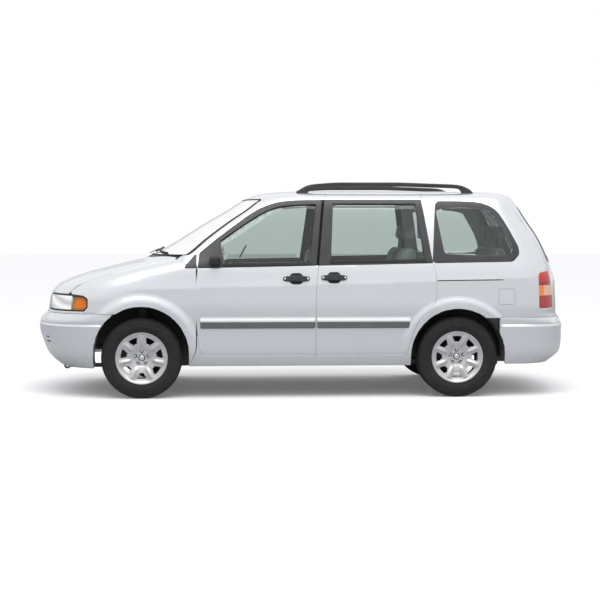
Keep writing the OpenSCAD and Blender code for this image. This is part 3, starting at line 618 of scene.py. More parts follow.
# %% Glass and lenses
def see_through(name, tint, rough=0.0, shadow=None, ribs=None):
    made, tree, shader = material(name, Base_Color=(*tint, 1.0), Transmission_Weight=1.0, IOR=1.45)
    out = tree.nodes["Material Output"]
    tree.links.new(effect(tree, clouds, Scale=30.0, Low=rough, High=rough + 0.02).outputs["Value"],
                   shader.inputs["Roughness"])
    if ribs:
        wave = node(tree, "ShaderNodeTexWave", [("Vector", place(tree))], Scale=ribs, bands_direction="Z")
        bump = node(tree, "ShaderNodeBump", [("Height", wave.outputs["Fac"])], Strength=0.6, Distance=0.003)
        tree.links.new(bump.outputs["Normal"], shader.inputs["Normal"])
    clear = node(tree, "ShaderNodeBsdfTransparent", Color=(*(shadow or tint), 1.0))
    path = node(tree, "ShaderNodeLightPath")
    mix = node(tree, "ShaderNodeMixShader", [(0, path.outputs["Is Shadow Ray"]), (1, shader.outputs[0]),
                                             (2, clear.outputs[0])])
    tree.links.new(mix.outputs[0], out.inputs["Surface"])
    return made


glass = see_through("tinted glass", (0.80, 0.87, 0.84))
screen_glass = see_through("windshield glass", (0.70, 0.79, 0.76))
clear_lens = see_through("clear lens", (0.96, 0.97, 0.97))
amber_lens = see_through("amber lens", (1.0, 0.66, 0.10), 0.02, ribs=60.0)

tail_lens, tree, shader = material("tail lamp lens", Coat_Weight=1.0, Coat_Roughness=0.03, Roughness=0.25)
axes = node(tree, "ShaderNodeSeparateXYZ", [("Vector", place(tree))])
span = node(tree, "ShaderNodeMapRange", [("Value", axes.outputs["Z"])])
span.inputs["From Min"].default_value, span.inputs["From Max"].default_value = 0.757, 1.069
bands = tree.nodes.new("ShaderNodeValToRGB")
bands.color_ramp.interpolation = "CONSTANT"
stops = [(0.0, (0.40, 0.004, 0.005)), (0.34, (0.75, 0.45, 0.28)), (0.62, (0.30, 0.004, 0.006)),
         (0.72, (0.55, 0.008, 0.006))]
for i, (at, tone) in enumerate(stops):
    stop = bands.color_ramp.elements[i] if i < 2 else bands.color_ramp.elements.new(at)
    stop.position, stop.color = at, (*tone, 1.0)
tree.links.new(span.outputs["Result"], bands.inputs["Fac"])
wave = node(tree, "ShaderNodeTexWave", [("Vector", place(tree))], Scale=70.0, bands_direction="Z")
amber = node(tree, "ShaderNodeMapRange", [("Value", axes.outputs["X"])])
amber.inputs["From Min"].default_value, amber.inputs["From Max"].default_value = 2.045, 2.055
middle = node(tree, "ShaderNodeMath", [(0, span.outputs["Result"])], operation="COMPARE")
middle.inputs[1].default_value, middle.inputs[2].default_value = 0.48, 0.14
outer = node(tree, "ShaderNodeMath", [(1, amber.outputs["Result"])], operation="SUBTRACT")
outer.inputs[0].default_value = 1.0
pick = node(tree, "ShaderNodeMath", [(0, middle.outputs[0]), (1, outer.outputs[0])], operation="MULTIPLY")
tree.links.new(blend(tree, pick.outputs[0], bands.outputs["Color"], (0.85, 0.22, 0.015)), shader.inputs["Base Color"])
bump = node(tree, "ShaderNodeBump", [("Height", wave.outputs["Fac"])], Strength=0.35, Distance=0.002)
tree.links.new(bump.outputs["Normal"], shader.inputs["Normal"])
print("glass and lenses are ready")


# %% Making an object of the work
def settle(name, bm, body, finish, stands_for=(), angle=38.0, closed=True):
    """A finished piece: in metres, outwards facing, riding on its body."""
    if closed:
        bmesh.ops.recalc_face_normals(bm, faces=bm.faces)
    mesh = bpy.data.meshes.new(name)
    bm.to_mesh(mesh)
    bm.free()
    mesh.transform(Matrix.Scale(0.001, 4) @ Matrix.Translation((SHIFT, 0, 0)))
    mesh.shade_smooth()
    mesh.set_sharp_from_angle(angle=math.radians(angle))
    mesh.materials.append(finish)
    made = bpy.data.objects.new(name, mesh)
    scene.collection.objects.link(made)
    return enroll(made, body, stands_for)


def enroll(made, body, stands_for=()):
    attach(made, body)
    nodes = [stands_for] if isinstance(stands_for, str) else list(stands_for)
    if nodes:
        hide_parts(*nodes)
    return made


def twin(piece, name, body="body", stands_for=()):
    """The same piece on the right-hand side."""
    mesh = piece.data.copy()
    mesh.name = name
    mesh.transform(Matrix.Scale(-1, 4, (0, 1, 0)))
    mesh.flip_normals()
    made = bpy.data.objects.new(name, mesh)
    for m in piece.modifiers:
        fresh = made.modifiers.new(m.name, m.type)
        for p in ("width", "segments", "limit_method", "levels", "render_levels"):
            if hasattr(m, p):
                setattr(fresh, p, getattr(m, p))
    scene.collection.objects.link(made)
    return enroll(made, body, stands_for)


def panel(name, skin, outline, depth, finish, stands_for=(), body="body", holes=(), folds=(),
          cell=22.0, below=0.0, radius=2.5, corner=8.0, shape=None):
    """A pressed piece: cut, hemmed and bent onto the body."""
    bm = flat_sheet(soften(outline, corner), cell, [soften(h, corner) for h in holes], folds)
    hem(bm, depth, radius)
    press(bm, skin, below, shape)
    return settle(name, bm, body, finish, stands_for)


def clip(outline, p, q, keep_above):
    """The part of an outline above, or below, the line from p to q."""
    def height(c):
        h = (q[0] - p[0]) * (c[1] - p[1]) - (q[1] - p[1]) * (c[0] - p[0])
        return h if keep_above else -h
    made = []
    for a, b in zip(outline, outline[1:] + outline[:1]):
        ha, hb = height(a), height(b)
        if ha >= 0:
            made.append(a)
        if (ha < 0) != (hb < 0):
            t = ha / (ha - hb)
            made.append((a[0] + t * (b[0] - a[0]), a[1] + t * (b[1] - a[1])))
    return made


print("press shop is ready")

# %% [markdown]
# ## Doors
# A van door is two things: a painted skin below the belt line, and a black frame round the glass above it. Inside
# there is a trim board. The front door turns on its hinges, so its frame stops short of the sliding door.

# %% Door outlines
BELT = ((-965.0, 1100.0), (1810.0, 1154.0))
FRONT_DOOR = [(aft(478), up(-20)), (aft(459), 950), (aft(455), 840), (aft(460), 700), (aft(474), 560),
              (aft(486), 440), (aft(503), 385), (aft(520), 371), (SPLIT - 10, 371), (SPLIT - 7, 440),
              (SPLIT - 5, 837), (SPLIT + 3, 1000), (SPLIT + 20, up(13)), (SPLIT + 74, up(561)),
              (aft(1290), up(557)), (aft(1150), up(541)), (aft(1050), up(508)), (aft(948), up(459)),
              (aft(850), up(390)), (aft(655), up(245)), (aft(492), up(112))]
FRONT_GLASS = [(aft(700), up(12)), (aft(663), up(216)), (aft(848), up(347)), (aft(993), up(439)),
               (aft(1091), up(487)), (aft(1190), up(512)), (aft(1336), up(524)), (SPLIT + 10, up(528)),
               (SPLIT - 55, up(22))]
SLIDE_DOOR = [(SPLIT - 4, 371), (SPLIT - 1, 440), (SPLIT + 1, 837), (SPLIT + 9, 1000), (SPLIT + 26, up(13)),
              (SPLIT + 80, up(562)), (fore(300), up(562)), (fore(220), up(51)), (fore(190), up(-47)),
              (fore(184), 860), (fore(196), 800), (fore(231), 760), (fore(328), 664), (fore(366), 600),
              (fore(393), 523), (fore(431), 400), (fore(452), 371)]
SLIDE_GLASS = [(SPLIT + 122, up(36)), (SPLIT + 150, up(534)), (fore(348), up(532)), (fore(276), up(50))]
QUARTER_GLASS = [(fore(178), up(484)), (fore(100), up(506)), (behind(45), up(515)), (behind(236), up(497)),
                 (behind(313), up(474)), (behind(438), up(277)), (behind(481), up(155)), (behind(462), up(101)),
                 (behind(316), up(86)), (fore(111), up(102))]
CREASE = [(x, float(crease_z(x))) for x in np.linspace(-1560, 2040, 60)]
SWELLS = [arc(FRONT, FRONT_ARCH_Z, ARCH_R + e, -10, 190) for e in (34, 60, 86, 112)]
SWELLS += [arc(REAR, REAR_ARCH_Z, ARCH_R + e, -10, 190) for e in (52, 80, 108)]
front_upper = [(x - (20 if x > SPLIT - 60 else 0), z) for x, z in clip(FRONT_DOOR, *BELT, True)]
print("front door skin has", len(clip(FRONT_DOOR, *BELT, False)), "corners")


# %% Front doors and sliding doors
def skins_and_frames(lower, upper, glass_outline, body, node_name, label, pane_nodes):
    made = [panel(label + "_skin", "side", lower, 42, paint, [node_name], body=body, folds=[CREASE] + SWELLS),
            panel(label + "_frame", "side", upper, 40, frame_black, [], body, [glass_outline], below=-1.0),
            panel(label + "_trim", "side", [(x * 0.97 + m * 0.03, z * 0.96 + 30) for x, z in lower
                                            for m in [sum(p[0] for p in lower) / len(lower)]],
                  40, cabin_grey, [], body, below=56, cell=45, radius=10),
            panel(label + "_belt_seal", "side", belt_strip(glass_outline), 12, seal, [], body, below=-5,
                  radius=4, cell=30),
            panel(label + "_pane", "side", glass_outline, 5, glass, pane_nodes,
                  body, below=13, cell=40, radius=1)]
    return made


def belt_strip(glass_outline):
    """The rubber strip that wipes the foot of the glass."""
    low = sorted(glass_outline, key=lambda p: p[1])[:2]
    (ax, az), (bx, bz) = sorted(low)
    return [(ax - 6, az - 9), (bx + 6, bz - 9), (bx + 6, bz + 9), (ax - 6, az + 9)]


front_lower = clip(FRONT_DOOR, *BELT, False)
left_front = skins_and_frames(front_lower, front_upper, FRONT_GLASS, "front_left_door",
                              "front_left_door", "front_left_door", ["front_left_window"])
for piece in left_front:
    is_pane = piece.name.endswith("pane")
    twin(piece, piece.name.replace("left", "right"), "front_right_door",
         ["front_right_window"] if is_pane else ["front_right_door"] if piece.name.endswith("skin") else [])
slide_lower, slide_upper = clip(SLIDE_DOOR, *BELT, False), clip(SLIDE_DOOR, *BELT, True)
left_slide = skins_and_frames(slide_lower, slide_upper, SLIDE_GLASS, "body",
                              "left_sliding_door", "left_sliding_door", ["sliding_door_windows"])
for piece in left_slide:
    is_pane = piece.name.endswith("pane")
    twin(piece, piece.name.replace("left", "right"), "body",
         ["right_sliding_door"] if piece.name.endswith("skin") else [])
print("doors:", len(left_front) + len(left_slide), "pieces a side")

# %% [markdown]
# ## Body side
# The sill, the rear quarter, the roof side and the front pillar are one pressing. Its outline follows the
# windshield's edge, the roof seam and the tailgate's edge, and the doors and the rear wheel are cut from it.

# %% Edges that the body side shares with its neighbours
SCREEN = [(1210, 796), (1225, 792), (1615, 690), (1675, 664), (1687, 640)]
GATE = [(676, 745), (1045, 745), (1175, 735), (1515, 690), (1675, 655), (1755, 640)]


def screen_half(z):
    return np.interp(z, *zip(*SCREEN))


def gate_half(z):
    return np.interp(z, *zip(*GATE))


ROOF_SEAM, GATE_X, HEADER_Z = 640.0, behind(485), 1687.0
pillar = [(float(front_x(screen_half(z), z)), float(z)) for z in np.linspace(HEADER_Z, 1213, 26)]
pillar = [p for p in pillar if p[0] > -995]
seam_front = float(front_x(ROOF_SEAM, HEADER_Z))
roof_edge = [(x, float(top_z(x, ROOF_SEAM))) for x in np.linspace(GATE_X - GAP, seam_front + 12, 46)]
tail_edge = []
for z in np.linspace(1071, 1745, 44):
    x = float(rear_x(gate_half(z) + LID_GAP, z))
    if x < GATE_X:
        break
    tail_edge.append((x, float(z)))
low_tail = [(float(rear_x(754, z)), float(z)) for z in (679, 700, 730, 756)]
arch_end = REAR + math.sqrt(ARCH_R**2 - (679 - REAR_ARCH_Z) ** 2)
rear_arch = [(REAR - ARCH_R, 275.0)] + arc(REAR, REAR_ARCH_Z, ARCH_R, 180,
                                          math.degrees(math.acos((arch_end - REAR) / ARCH_R)), 34)
side_outline = ([(-940.0, 275.0)] + rear_arch + low_tail + [(behind(703), 756), (behind(700), 1040),
                (behind(712), 1058), (behind(760), 1066), tail_edge[0]] + tail_edge[1:] + roof_edge + pillar
                + [(-995.0, pillar[-1][1] - 4), (-995.0, 1143.0), (-870.0, 1119.0), (-870.0, 401.0)])


def grown(points, by):
    """An outline with every corner moved outwards."""
    made = []
    n = len(points)
    area = sum(points[i][0] * points[(i + 1) % n][1] - points[(i + 1) % n][0] * points[i][1] for i in range(n))
    turn = 1 if area > 0 else -1
    for i in range(n):
        p, q, r = (Vector(points[(i + k) % n]) for k in (-1, 0, 1))
        a, b = (q - p).normalized(), (r - q).normalized()
        out = Vector((a.y + b.y, -a.x - b.x)) * turn
        out = out.normalized() * by / max(0.4, math.cos(a.angle(b) / 2))
        made.append(tuple(q + out))
    return made


left_side = panel("left_body_side_pressing", "side", side_outline, 42, paint, ["left_body_side"],
                  holes=[grown(FRONT_DOOR, GAP), grown(SLIDE_DOOR, GAP), QUARTER_GLASS],
                  folds=[CREASE] + SWELLS[4:], cell=22, corner=6)
twin(left_side, "right_body_side_pressing", "body", ["right_body_side"])
print("body side:", len(left_side.data.polygons), "faces")

# %% [markdown]
# ## Fenders, hood, roof and glass
# The front fender runs from the lamp to the door and carries the front wheel's swell. The hood lies between the
# fenders, and its edge is drawn from above, so each point is dropped onto the body to find its place on the
# unrolled nose.

# %% Fenders
LAMP_TOP = 878.0
hood_side_x = np.linspace(ahead(250), ahead(830), 26)
hood_side_y = np.interp(-hood_side_x, [-ahead(250), -ahead(620), -ahead(1400)], [770, 728, 700])


def over(x, y):
    return float(top_z(x, y))


hood_seam = [(float(x), over(x, y + LID_GAP)) for x, y in zip(hood_side_x, hood_side_y)]
hood_seam = [p for p in hood_seam if p[1] > LAMP_TOP + 12]
rear_corner = [(float(x), over(x, 779)) for x in np.linspace(-1062, ahead(245), 18)]
arch_start = math.degrees(math.acos(-math.sqrt(ARCH_R**2 - (718 - FRONT_ARCH_Z) ** 2) / ARCH_R))
fender_outline = ([(-1001, 1205), (-1046, over(-1046, 802))] + rear_corner + hood_seam
                  + [(ahead(591), 882), (ahead(483), 871), (ahead(448), 842), (ahead(449), 768), (ahead(482), 734),
                     (ahead(482), 718)] + arc(FRONT, FRONT_ARCH_Z, ARCH_R, arch_start, 0, 36)
                  + [(-938, 275), (-946, 275), (-882, 395), (-882, 1108), (-1001, 1137)])
left_fender = panel("left_front_fender", "side", fender_outline, 36, paint, ["front_fenders"],
                    folds=[CREASE] + SWELLS[:4], cell=20, corner=5)
twin(left_fender, "right_front_fender", "body", [])
print("fender:", len(left_fender.data.polygons), "faces")

# %% Hood
hood_rear = [(aft(5 + 285 * t**3.2), t * 770)
             for t in (1, 0.95, 0.9, 0.85, 0.8, 0.72, 0.65, 0.57, 0.5, 0.4, 0.3, 0.15, 0)]
hood_half = [(float(y), nose_run(over(x, y))) for x, y in zip(hood_side_x[::-1], hood_side_y[::-1])
             if over(x, y) > LAMP_TOP + 8]
nose_y = hood_half[0][0] - 6
front_edge = [(y, nose_run(LAMP_TOP + GAP)) for y in np.linspace(0, nose_y, 16)]
hood_half = front_edge + hood_half + [(y, nose_run(over(x, y))) for x, y in hood_rear]
hood_outline = hood_half + [(-y, s) for y, s in reversed(hood_half[1:-1])]


def hood_fold(u, v, depth):
    """Two long swellings along the hood."""
    rise = 5.0 * smooth(300, 360, np.abs(u)) * (1 - smooth(380, 520, np.abs(u))) * smooth(120, 420, v - nose_run(884))
    return depth - rise


hood = panel("hood_pressing", "front", hood_outline, 34, paint, ["hood"], body="hood", cell=24, corner=6,
             shape=hood_fold)
print("hood:", len(hood.data.polygons), "faces")

# %% Roof
header = [(float(front_x(y, HEADER_Z)), float(y)) for y in np.linspace(-ROOF_SEAM, ROOF_SEAM, 34)]
roof = panel("roof_pressing", "roof", header + [(GATE_X - GAP, ROOF_SEAM), (GATE_X - GAP, -ROOF_SEAM)], 34, paint,
             ["roof_panel"], cell=34, corner=4)
panel("roof_lining", "roof", [(x + 60, y * 0.97) for x, y in header] + [(GATE_X - 40, 610), (GATE_X - 40, -610)], 8,
      felt, [], cell=60, below=40)
print("roof:", len(roof.data.polygons), "faces")

# %% Windshield and cowl
screen_half_line = [(y - 0.5, nose_run(z)) for z, y in SCREEN]
screen_outline = screen_half_line + [(-y, s) for y, s in reversed(screen_half_line)]
panel("windshield_pane", "front", screen_outline, 5, screen_glass, ["windshield"], cell=40, below=2, radius=1,
      corner=20)
low_s, high_s = min(s for _, s in screen_outline), max(s for _, s in screen_outline)
inner = [(y * 0.955, low_s + 55 + (s - low_s) / (high_s - low_s) * (high_s - low_s - 85))
         for y, s in screen_outline]
panel("windshield_border", "front", screen_outline, 1.5, frame_black, [], holes=[inner], cell=30,
      below=7.5, radius=0.4, corner=30)
panel("windshield_seal", "front", grown(screen_outline, 3), 5, seal, [],
      holes=[grown(screen_outline, -9)], cell=30, below=-1, radius=1.5, corner=20)
cowl_low = [(y, nose_run(over(x, y)) + 12) for x, y in hood_rear if y < 700]
cowl_half = [(0.0, nose_run(1207))] + [(y, nose_run(1207)) for y in (300, 600, 780)]
cowl_outline = [(-y, s) for y, s in cowl_low] + [(y, s) for y, s in reversed(cowl_low)][1:] + [
    (y, s) for y, s in reversed(cowl_half)] + [(-y, s) for y, s in cowl_half[1:]]
slots = [[(y - 9, nose_run(1190)), (y + 9, nose_run(1190)), (y + 9, nose_run(1201)), (y - 9, nose_run(1201))]
         for y in range(-420, 430, 28)]
panel("cowl_grille", "front", cowl_outline, 14, plastic, [], holes=slots, cell=26, below=3, corner=4)
print("windshield, border, seal and cowl are in")

# %% Quarter windows and the black bands round the side glass
QUARTER_BLACK = [(1166, up(553)), (1385, up(552)), (1570, up(541)), (1691, 1597), (1786, 1440), (1869, 1274),
                 (1872, 1214), (1816, 1154), (1500, 1149), (1150, 1143), (1128, 1160)]
left_quarter = panel("left_quarter_pane", "side", QUARTER_GLASS, 5, glass, ["quarter_windows"], cell=36, below=7,
                     radius=1, corner=40)
twin(left_quarter, "right_quarter_pane", "body", [])
left_band = panel("left_quarter_band", "side", QUARTER_BLACK, 5, frame_black, [],
                  holes=[QUARTER_GLASS], cell=26, below=-3, radius=2.0, corner=45)
twin(left_band, "right_quarter_band", "body", [])
SAIL = [(-975, 1102), (-968, 1123), (-929, 1165), (-876, 1226), (-876, 1104)]
left_sail = panel("left_front_sail", "side", SAIL, 8, frame_black, [], cell=18, below=-2.5,
                  radius=2.5, corner=10)
twin(left_sail, "right_front_sail", "body", [])
post = [(SPLIT - 34, 390), (SPLIT + 88, 390), (SPLIT + 136, up(560)), (SPLIT + 24, up(560))]
left_post = panel("left_door_post", "side", clip(post, *BELT, True), 30, seal, [], cell=40, below=50)
twin(left_post, "right_door_post", "body", [])
print("side glass is framed in black")

# %% [markdown]
# ## Tailgate and bumpers
# The tailgate is drawn from behind with a hole for its glass. The bumpers are strips that wrap round the corners.
# A groove below the bumper's shoulder is a fold in the blank, so that the mesh has edges exactly where it bends.

# %% Tailgate
gate_half_line = [(float(gate_half(z)), tail_run(z)) for z in (679, 850, 1045, 1175, 1350, 1515, 1675)]
top_line = [(float(y), tail_run(over(GATE_X, y))) for y in np.linspace(625, -625, 30)]
gate_outline = gate_half_line + top_line + [(-y, s) for y, s in reversed(gate_half_line)]
GATE_GLASS = [(650, 1160), (600, 1555), (540, 1615), (-540, 1615), (-600, 1555), (-650, 1160)]
gate_glass = [(y, tail_run(z)) for y, z in GATE_GLASS]


def gate_shape(u, v, depth):
    """A shallow recess for the plate, and a rounded shelf above it."""
    recess = 9.0 * (1 - smooth(225, 265, np.abs(u))) * smooth(805, 830, v_z(v)) * (1 - smooth(935, 955, v_z(v)))
    shelf = 7.0 * np.exp(-(((v_z(v) - 975) / 26) ** 2)) * (1 - smooth(560, 690, np.abs(u)))
    return depth + recess - shelf


def v_z(v):
    return np.interp(v, TAIL_S, TAIL_Z)


tailgate = panel("tailgate_pressing", "rear", gate_outline, 34, paint, ["tailgate"], body="tailgate",
                 holes=[gate_glass], cell=24, corner=8, shape=gate_shape)
panel("tailgate_pane", "rear", gate_glass, 5, glass, ["tailgate_window"], body="tailgate", cell=40, below=7, radius=1,
      corner=40)
panel("tailgate_glass_band", "rear", grown(gate_glass, 14), 5, frame_black, [], "tailgate",
      [grown(gate_glass, -34)], cell=30, below=-2, radius=1.5, corner=40)
panel("blank_plate", "rear", [(-170, tail_run(822)), (170, tail_run(822)), (170, tail_run(932)), (-170, tail_run(932))],
      3, plate_white, [], "tailgate", cell=40, below=2, radius=1, corner=12)
panel("tailgate_handle_bar", "rear", [(-300, tail_run(958)), (300, tail_run(958)), (300, tail_run(992)),
                                      (-300, tail_run(992))], 16, plastic, [], "tailgate", cell=20,
      below=-16, radius=6, corner=16)
panel("high_stop_lamp", "rear", [(-150, tail_run(1632)), (150, tail_run(1632)), (150, tail_run(1652)),
                                 (-150, tail_run(1652))], 10, tail_lens, [], "tailgate", cell=20,
      below=-6, radius=3, corner=8)
print("tailgate:", len(tailgate.data.polygons), "faces")


# %% Bumpers
def bumper_shape(low, high, shelf):
    def shape(u, z, depth):
        groove = 6.0 * np.exp(-(((z - shelf) / 7) ** 2)) - 5.0 * np.exp(-(((z - shelf + 20) / 14) ** 2))
        return depth + groove
    return shape


def strip_path(points, rear):
    """Side-view points of a wrapped piece, moved onto its strip."""
    return [(strip_u(z, rear, x=x), z) for x, z in points]


front_side = strip_path([(-1748, 252), (-1748, 380)] + arc(FRONT, FRONT_ARCH_Z, ARCH_R + GAP, 180, 128, 14)
                        + [(-1590, 712)], False)
front_bumper_outline = [(u, z) for u, z in front_side] + [(-u, z) for u, z in reversed(front_side)]
intake = [(-410, 334), (410, 334), (395, 416), (-395, 416)]
slits = [[(s * a, z - 9), (s * b, z - 9), (s * b, z + 9), (s * a, z + 9)] if s > 0 else
         [(s * b, z - 9), (s * a, z - 9), (s * a, z + 9), (s * b, z + 9)]
         for s in (1, -1) for a, b, z in ((560, 650, 508), (560, 650, 468))]
u_lines = [[(u, z) for u in np.linspace(-1250, 1250, 60)] for z in (606, 619, 626, 633)]
front_bumper = panel("front_bumper_cover", "nose strip", front_bumper_outline, 50, paint, ["front_bumper"],
                     holes=[intake] + slits, folds=u_lines, cell=30, corner=12, shape=bumper_shape(250, 712, 626))
rear_side = strip_path([(REAR + ARCH_R + GAP, 282), (REAR + ARCH_R + GAP, 355)]
                       + arc(REAR, REAR_ARCH_Z, ARCH_R + GAP, 0, 52, 14), True)
rear_side = [(min(u, WRAP[True]), z) for u, z in rear_side if z < 672] + [(WRAP[True], 673)]
rear_bumper_outline = rear_side + [(-u, z) for u, z in reversed(rear_side)]
u_lines = [[(u, z) for u in np.linspace(-1300, 1300, 60)] for z in (600, 611, 618, 626)]
rear_bumper = panel("rear_bumper_cover", "tail strip", rear_bumper_outline, 50, paint, ["rear_bumper"], folds=u_lines,
                    cell=30, corner=12, shape=bumper_shape(275, 673, 618))
panel("rear_step_pad", "tail strip", [(-560, 655), (560, 655), (560, 672), (-560, 672)], 8, plastic, [],
      cell=24, below=-4, radius=3, corner=6)
print("bumpers:", len(front_bumper.data.polygons), len(rear_bumper.data.polygons), "faces")

# %% [markdown]
# ## Lamps and grille
# A headlamp is a clear cover in a dark rim, over a bright reflector, with an amber turn signal on the outer end.
# A flat white box would look blind, so the reflector and its ribs are really there.

# %% Headlamps
LAMP_IN = 446.0


def lamp_strip(points):
    return [(strip_u(z, False, x=x), z) for x, z in points]


lamp_inner = [(strip_u(z, False, y=LAMP_IN), z) for z in (739, 880)]
lamp_outer = lamp_strip([(ahead(591), 877), (ahead(483), 866), (ahead(453), 839), (ahead(454), 771), (ahead(486), 739)])
lamp_outline = [lamp_inner[0], lamp_inner[1]] + lamp_outer
amber_from = strip_u(810, False, x=-1930)
signal = [p for p in clip(lamp_outline, (amber_from, 700), (amber_from + 12, 900), False)]
clear = [p for p in clip(lamp_outline, (amber_from, 700), (amber_from + 12, 900), True)]
for name, part, finish in (("headlamp_cover", clear, clear_lens), ("turn_signal_cover", signal, amber_lens)):
    cover = panel("left_" + name, "nose strip", [(-u, z) for u, z in grown(part, -5)], 4, finish,
                  ["headlights"] if "head" in name else [], cell=24, below=1.5, radius=1.5, corner=12)
    twin(cover, "right_" + name, "body", [])
rim = panel("left_headlamp_rim", "nose strip", [(-u, z) for u, z in lamp_outline], 60, seal, [],
            holes=[[(-u, z) for u, z in grown(lamp_outline, -9)]], cell=22, below=0.5, radius=2, corner=14)
twin(rim, "right_headlamp_rim", "body", [])


def ribbed(u, z, depth):
    """The reflector's bowl behind the bulb, and its fine steps."""
    bowl = 26 * np.exp(-(((np.abs(u) - 640) / 85) ** 2) - ((z - 808) / 48) ** 2)
    return depth + bowl + 1.6 * np.sin(u / 5.2)


reflector = panel("left_headlamp_reflector", "nose strip", [(-u, z) for u, z in grown(clear, -8)], 4, chrome, [],
                  cell=9, below=34, radius=1, corner=10, shape=ribbed)
twin(reflector, "right_headlamp_reflector", "body", [])
signal_back = panel("left_signal_reflector", "nose strip", [(-u, z) for u, z in grown(signal, -8)], 4,
                    surface("amber reflector", (1.0, 0.60, 0.10), (0.92, 0.50, 0.06), 0.3), [], cell=12,
                    below=24, radius=1, corner=10)
twin(signal_back, "right_signal_reflector", "body", [])
print("headlamps are in")

# %% Tail lamps, grille and the strip under the lamps
tail_outline = [(-strip_u(z, True, x=x), z) for x, z in ((behind(706), 760), (behind(703), 1030), (behind(716), 1052),
                                                         (behind(758), 1062))]
tail_outline += [(-strip_u(z, True, y=gate_half(z) + LID_GAP + 3), float(z)) for z in (1067, 960, 860, 760)]
left_tail = panel("left_tail_lamp", "tail strip", tail_outline, 46, tail_lens, ["tail_lights"], cell=14, below=-3,
                  radius=6, corner=24)
twin(left_tail, "right_tail_lamp", "body", [])
under_lamp = [(-strip_u(z, False, x=x), z) for x, z in ((-1828, 734), (-1828, 719))]
nose_strip = under_lamp + [(-u, z) for u, z in reversed(under_lamp)]
panel("nose_strip", "nose strip", nose_strip, 30, paint, [], cell=22, corner=3)
grille_u = lamp_inner[0][0] - 8
openings = [[(-grille_u + 16, z), (grille_u - 16, z), (grille_u - 16, z + 17), (-grille_u + 16, z + 17)]
            for z in (752, 777, 802, 827, 852)]
grille_outline = [(-grille_u, 738), (grille_u, 738), (grille_u, 880), (-grille_u, 880)]
panel("grille_bars", "nose strip", grille_outline, 26, chrome, ["grille"],
      holes=openings, cell=30, below=4, radius=4, corner=12)
panel("grille_backing", "nose strip", grille_outline, 6, plastic, [],
      cell=40, below=34)
panel("intake_backing", "nose strip", [(-430, 320), (430, 320), (430, 430), (-430, 430)], 6, plastic, [],
      cell=40, below=52)
print("tail lamps and grille are in")

# %% [markdown]
# ## Trim on the outside
# Small black pieces give a van its face: door handles, mouldings, mirrors, rails, wipers. Most are pressed from a
# flat blank like the panels, with a negative depth, so that they stand proud of the paint.


# %% Mouldings and handles
def moulding(name, x0, x1, slant, body):
    low, seam, high = 598.0, 650.0, 690.0
    strip = [(x0, low), (x1 - slant, low), (x1 - slant * 0.4, seam), (x0, seam)]
    cap = [(x0, seam), (x1 - slant * 0.4, seam), (x1, high), (x0, high)]
    a = panel("left_" + name + "_strip", "side", strip, 14, strip_grey, [], body, cell=26, below=-11, radius=4,
              corner=9)
    b = panel("left_" + name + "_cap", "side", cap, 13, paint, [], body, cell=13, below=-12, radius=3, corner=9,
              shape=lambda u, v, d: np.where(d < 0.9, d + 12 * smooth(seam + 2, high - 2, v), d))
    twin(a, a.name.replace("left", "right"), body.replace("left", "right"), [])
    twin(b, b.name.replace("left", "right"), body.replace("left", "right"), [])


moulding("front_moulding", -840, 122, 0, "front_left_door")
moulding("sliding_moulding", 145, 934, 20, "body")


def handle(name, x, z, half, body):
    """An oval cup behind a bow with round ends."""
    cup = [(x - 56, z - 24), (x - 34, z - 44), (x + 34, z - 44), (x + 56, z - 24), (x + 56, z + 24), (x + 34, z + 46),
           (x - 34, z + 46), (x - 56, z + 24)]
    bow = [(x - half, z - 12), (x - 40, z - 20), (x + 40, z - 20), (x + half, z - 12), (x + half, z + 12),
           (x + 40, z + 20), (x - 40, z + 20), (x - half, z + 12)]
    parts = [panel("left_" + name + "_cup", "side", cup, 7, plastic, [], body, cell=9, below=-6, radius=3,
                   corner=30, shape=lambda u, v, d: d + 9 * np.exp(-(((u - x) / 40) ** 2) - ((v - z) / 30) ** 2)
                   * (d < 0)),
             panel("left_" + name + "_bow", "side", bow, 14, rail_black, [], body, cell=9, below=-18, radius=5,
                   corner=18, shape=lambda u, v, d: d - 13 * np.maximum(1 - ((u - x) / half) ** 2, 0))]
    bm = bmesh.new()
    for s in (-1, 1):
        knob = bmesh.ops.create_uvsphere(bm, u_segments=20, v_segments=12, radius=11)["verts"]
        px = x + s * (half - 12)
        bmesh.ops.scale(bm, vec=(1, 0.6, 1), verts=knob)
        bmesh.ops.translate(bm, vec=(px, -float(side_y(px, z)) - 20, z), verts=knob)
    parts.append(settle("left_" + name + "_ends", bm, body, chrome, []))
    for piece in parts:
        twin(piece, piece.name.replace("left", "right"), body.replace("left", "right"), [])


handle("front_handle", -34, 1011, 108, "front_left_door")
handle("sliding_handle", 286, 1019, 104, "body")
track = panel("left_sliding_track", "side", [(1163, 990), (1700, 996), (1750, 999), (1700, 1003), (1163, 997)], 4, seal,
              [], cell=30, below=-0.8, radius=1)
twin(track, "right_sliding_track", "body", [])
for name, x in (("front", 224), ("rear", 1046)):
    seam = panel("left_roof_seam_" + name, "side", [(x, 1683), (x + 3, 1683), (x + 6, 1733), (x + 3, 1733)], 2,
                 strip_grey, [], cell=20, below=-0.5, radius=0.5, corner=0.5)
    twin(seam, "right_roof_seam_" + name, "body", [])
# The flap is not cut from the body side: a 2 mm grey ring, just proud of the paint, is painted shade of its gap.
flap = [(1686, 790), (1826, 790), (1826, 924), (1686, 924)]
panel("filler_flap_gap", "side", flap, 2, strip_grey, [], holes=[grown(soften(flap, 16), -2)],
      cell=20, below=-0.3, radius=0.4, corner=16)
print("mouldings, handles, track and flap are in")


# %% [markdown]
# The box helper has an open fault. After `subdivide_edges` the old points can't be told from the new ones, so a
# second box also reshapes and moves whatever its mesh held before. The mirror housings, the steering wheel, the
# seat plinths and the wheel house liners are squeezed by it. A box made in a bmesh of its own would be right.

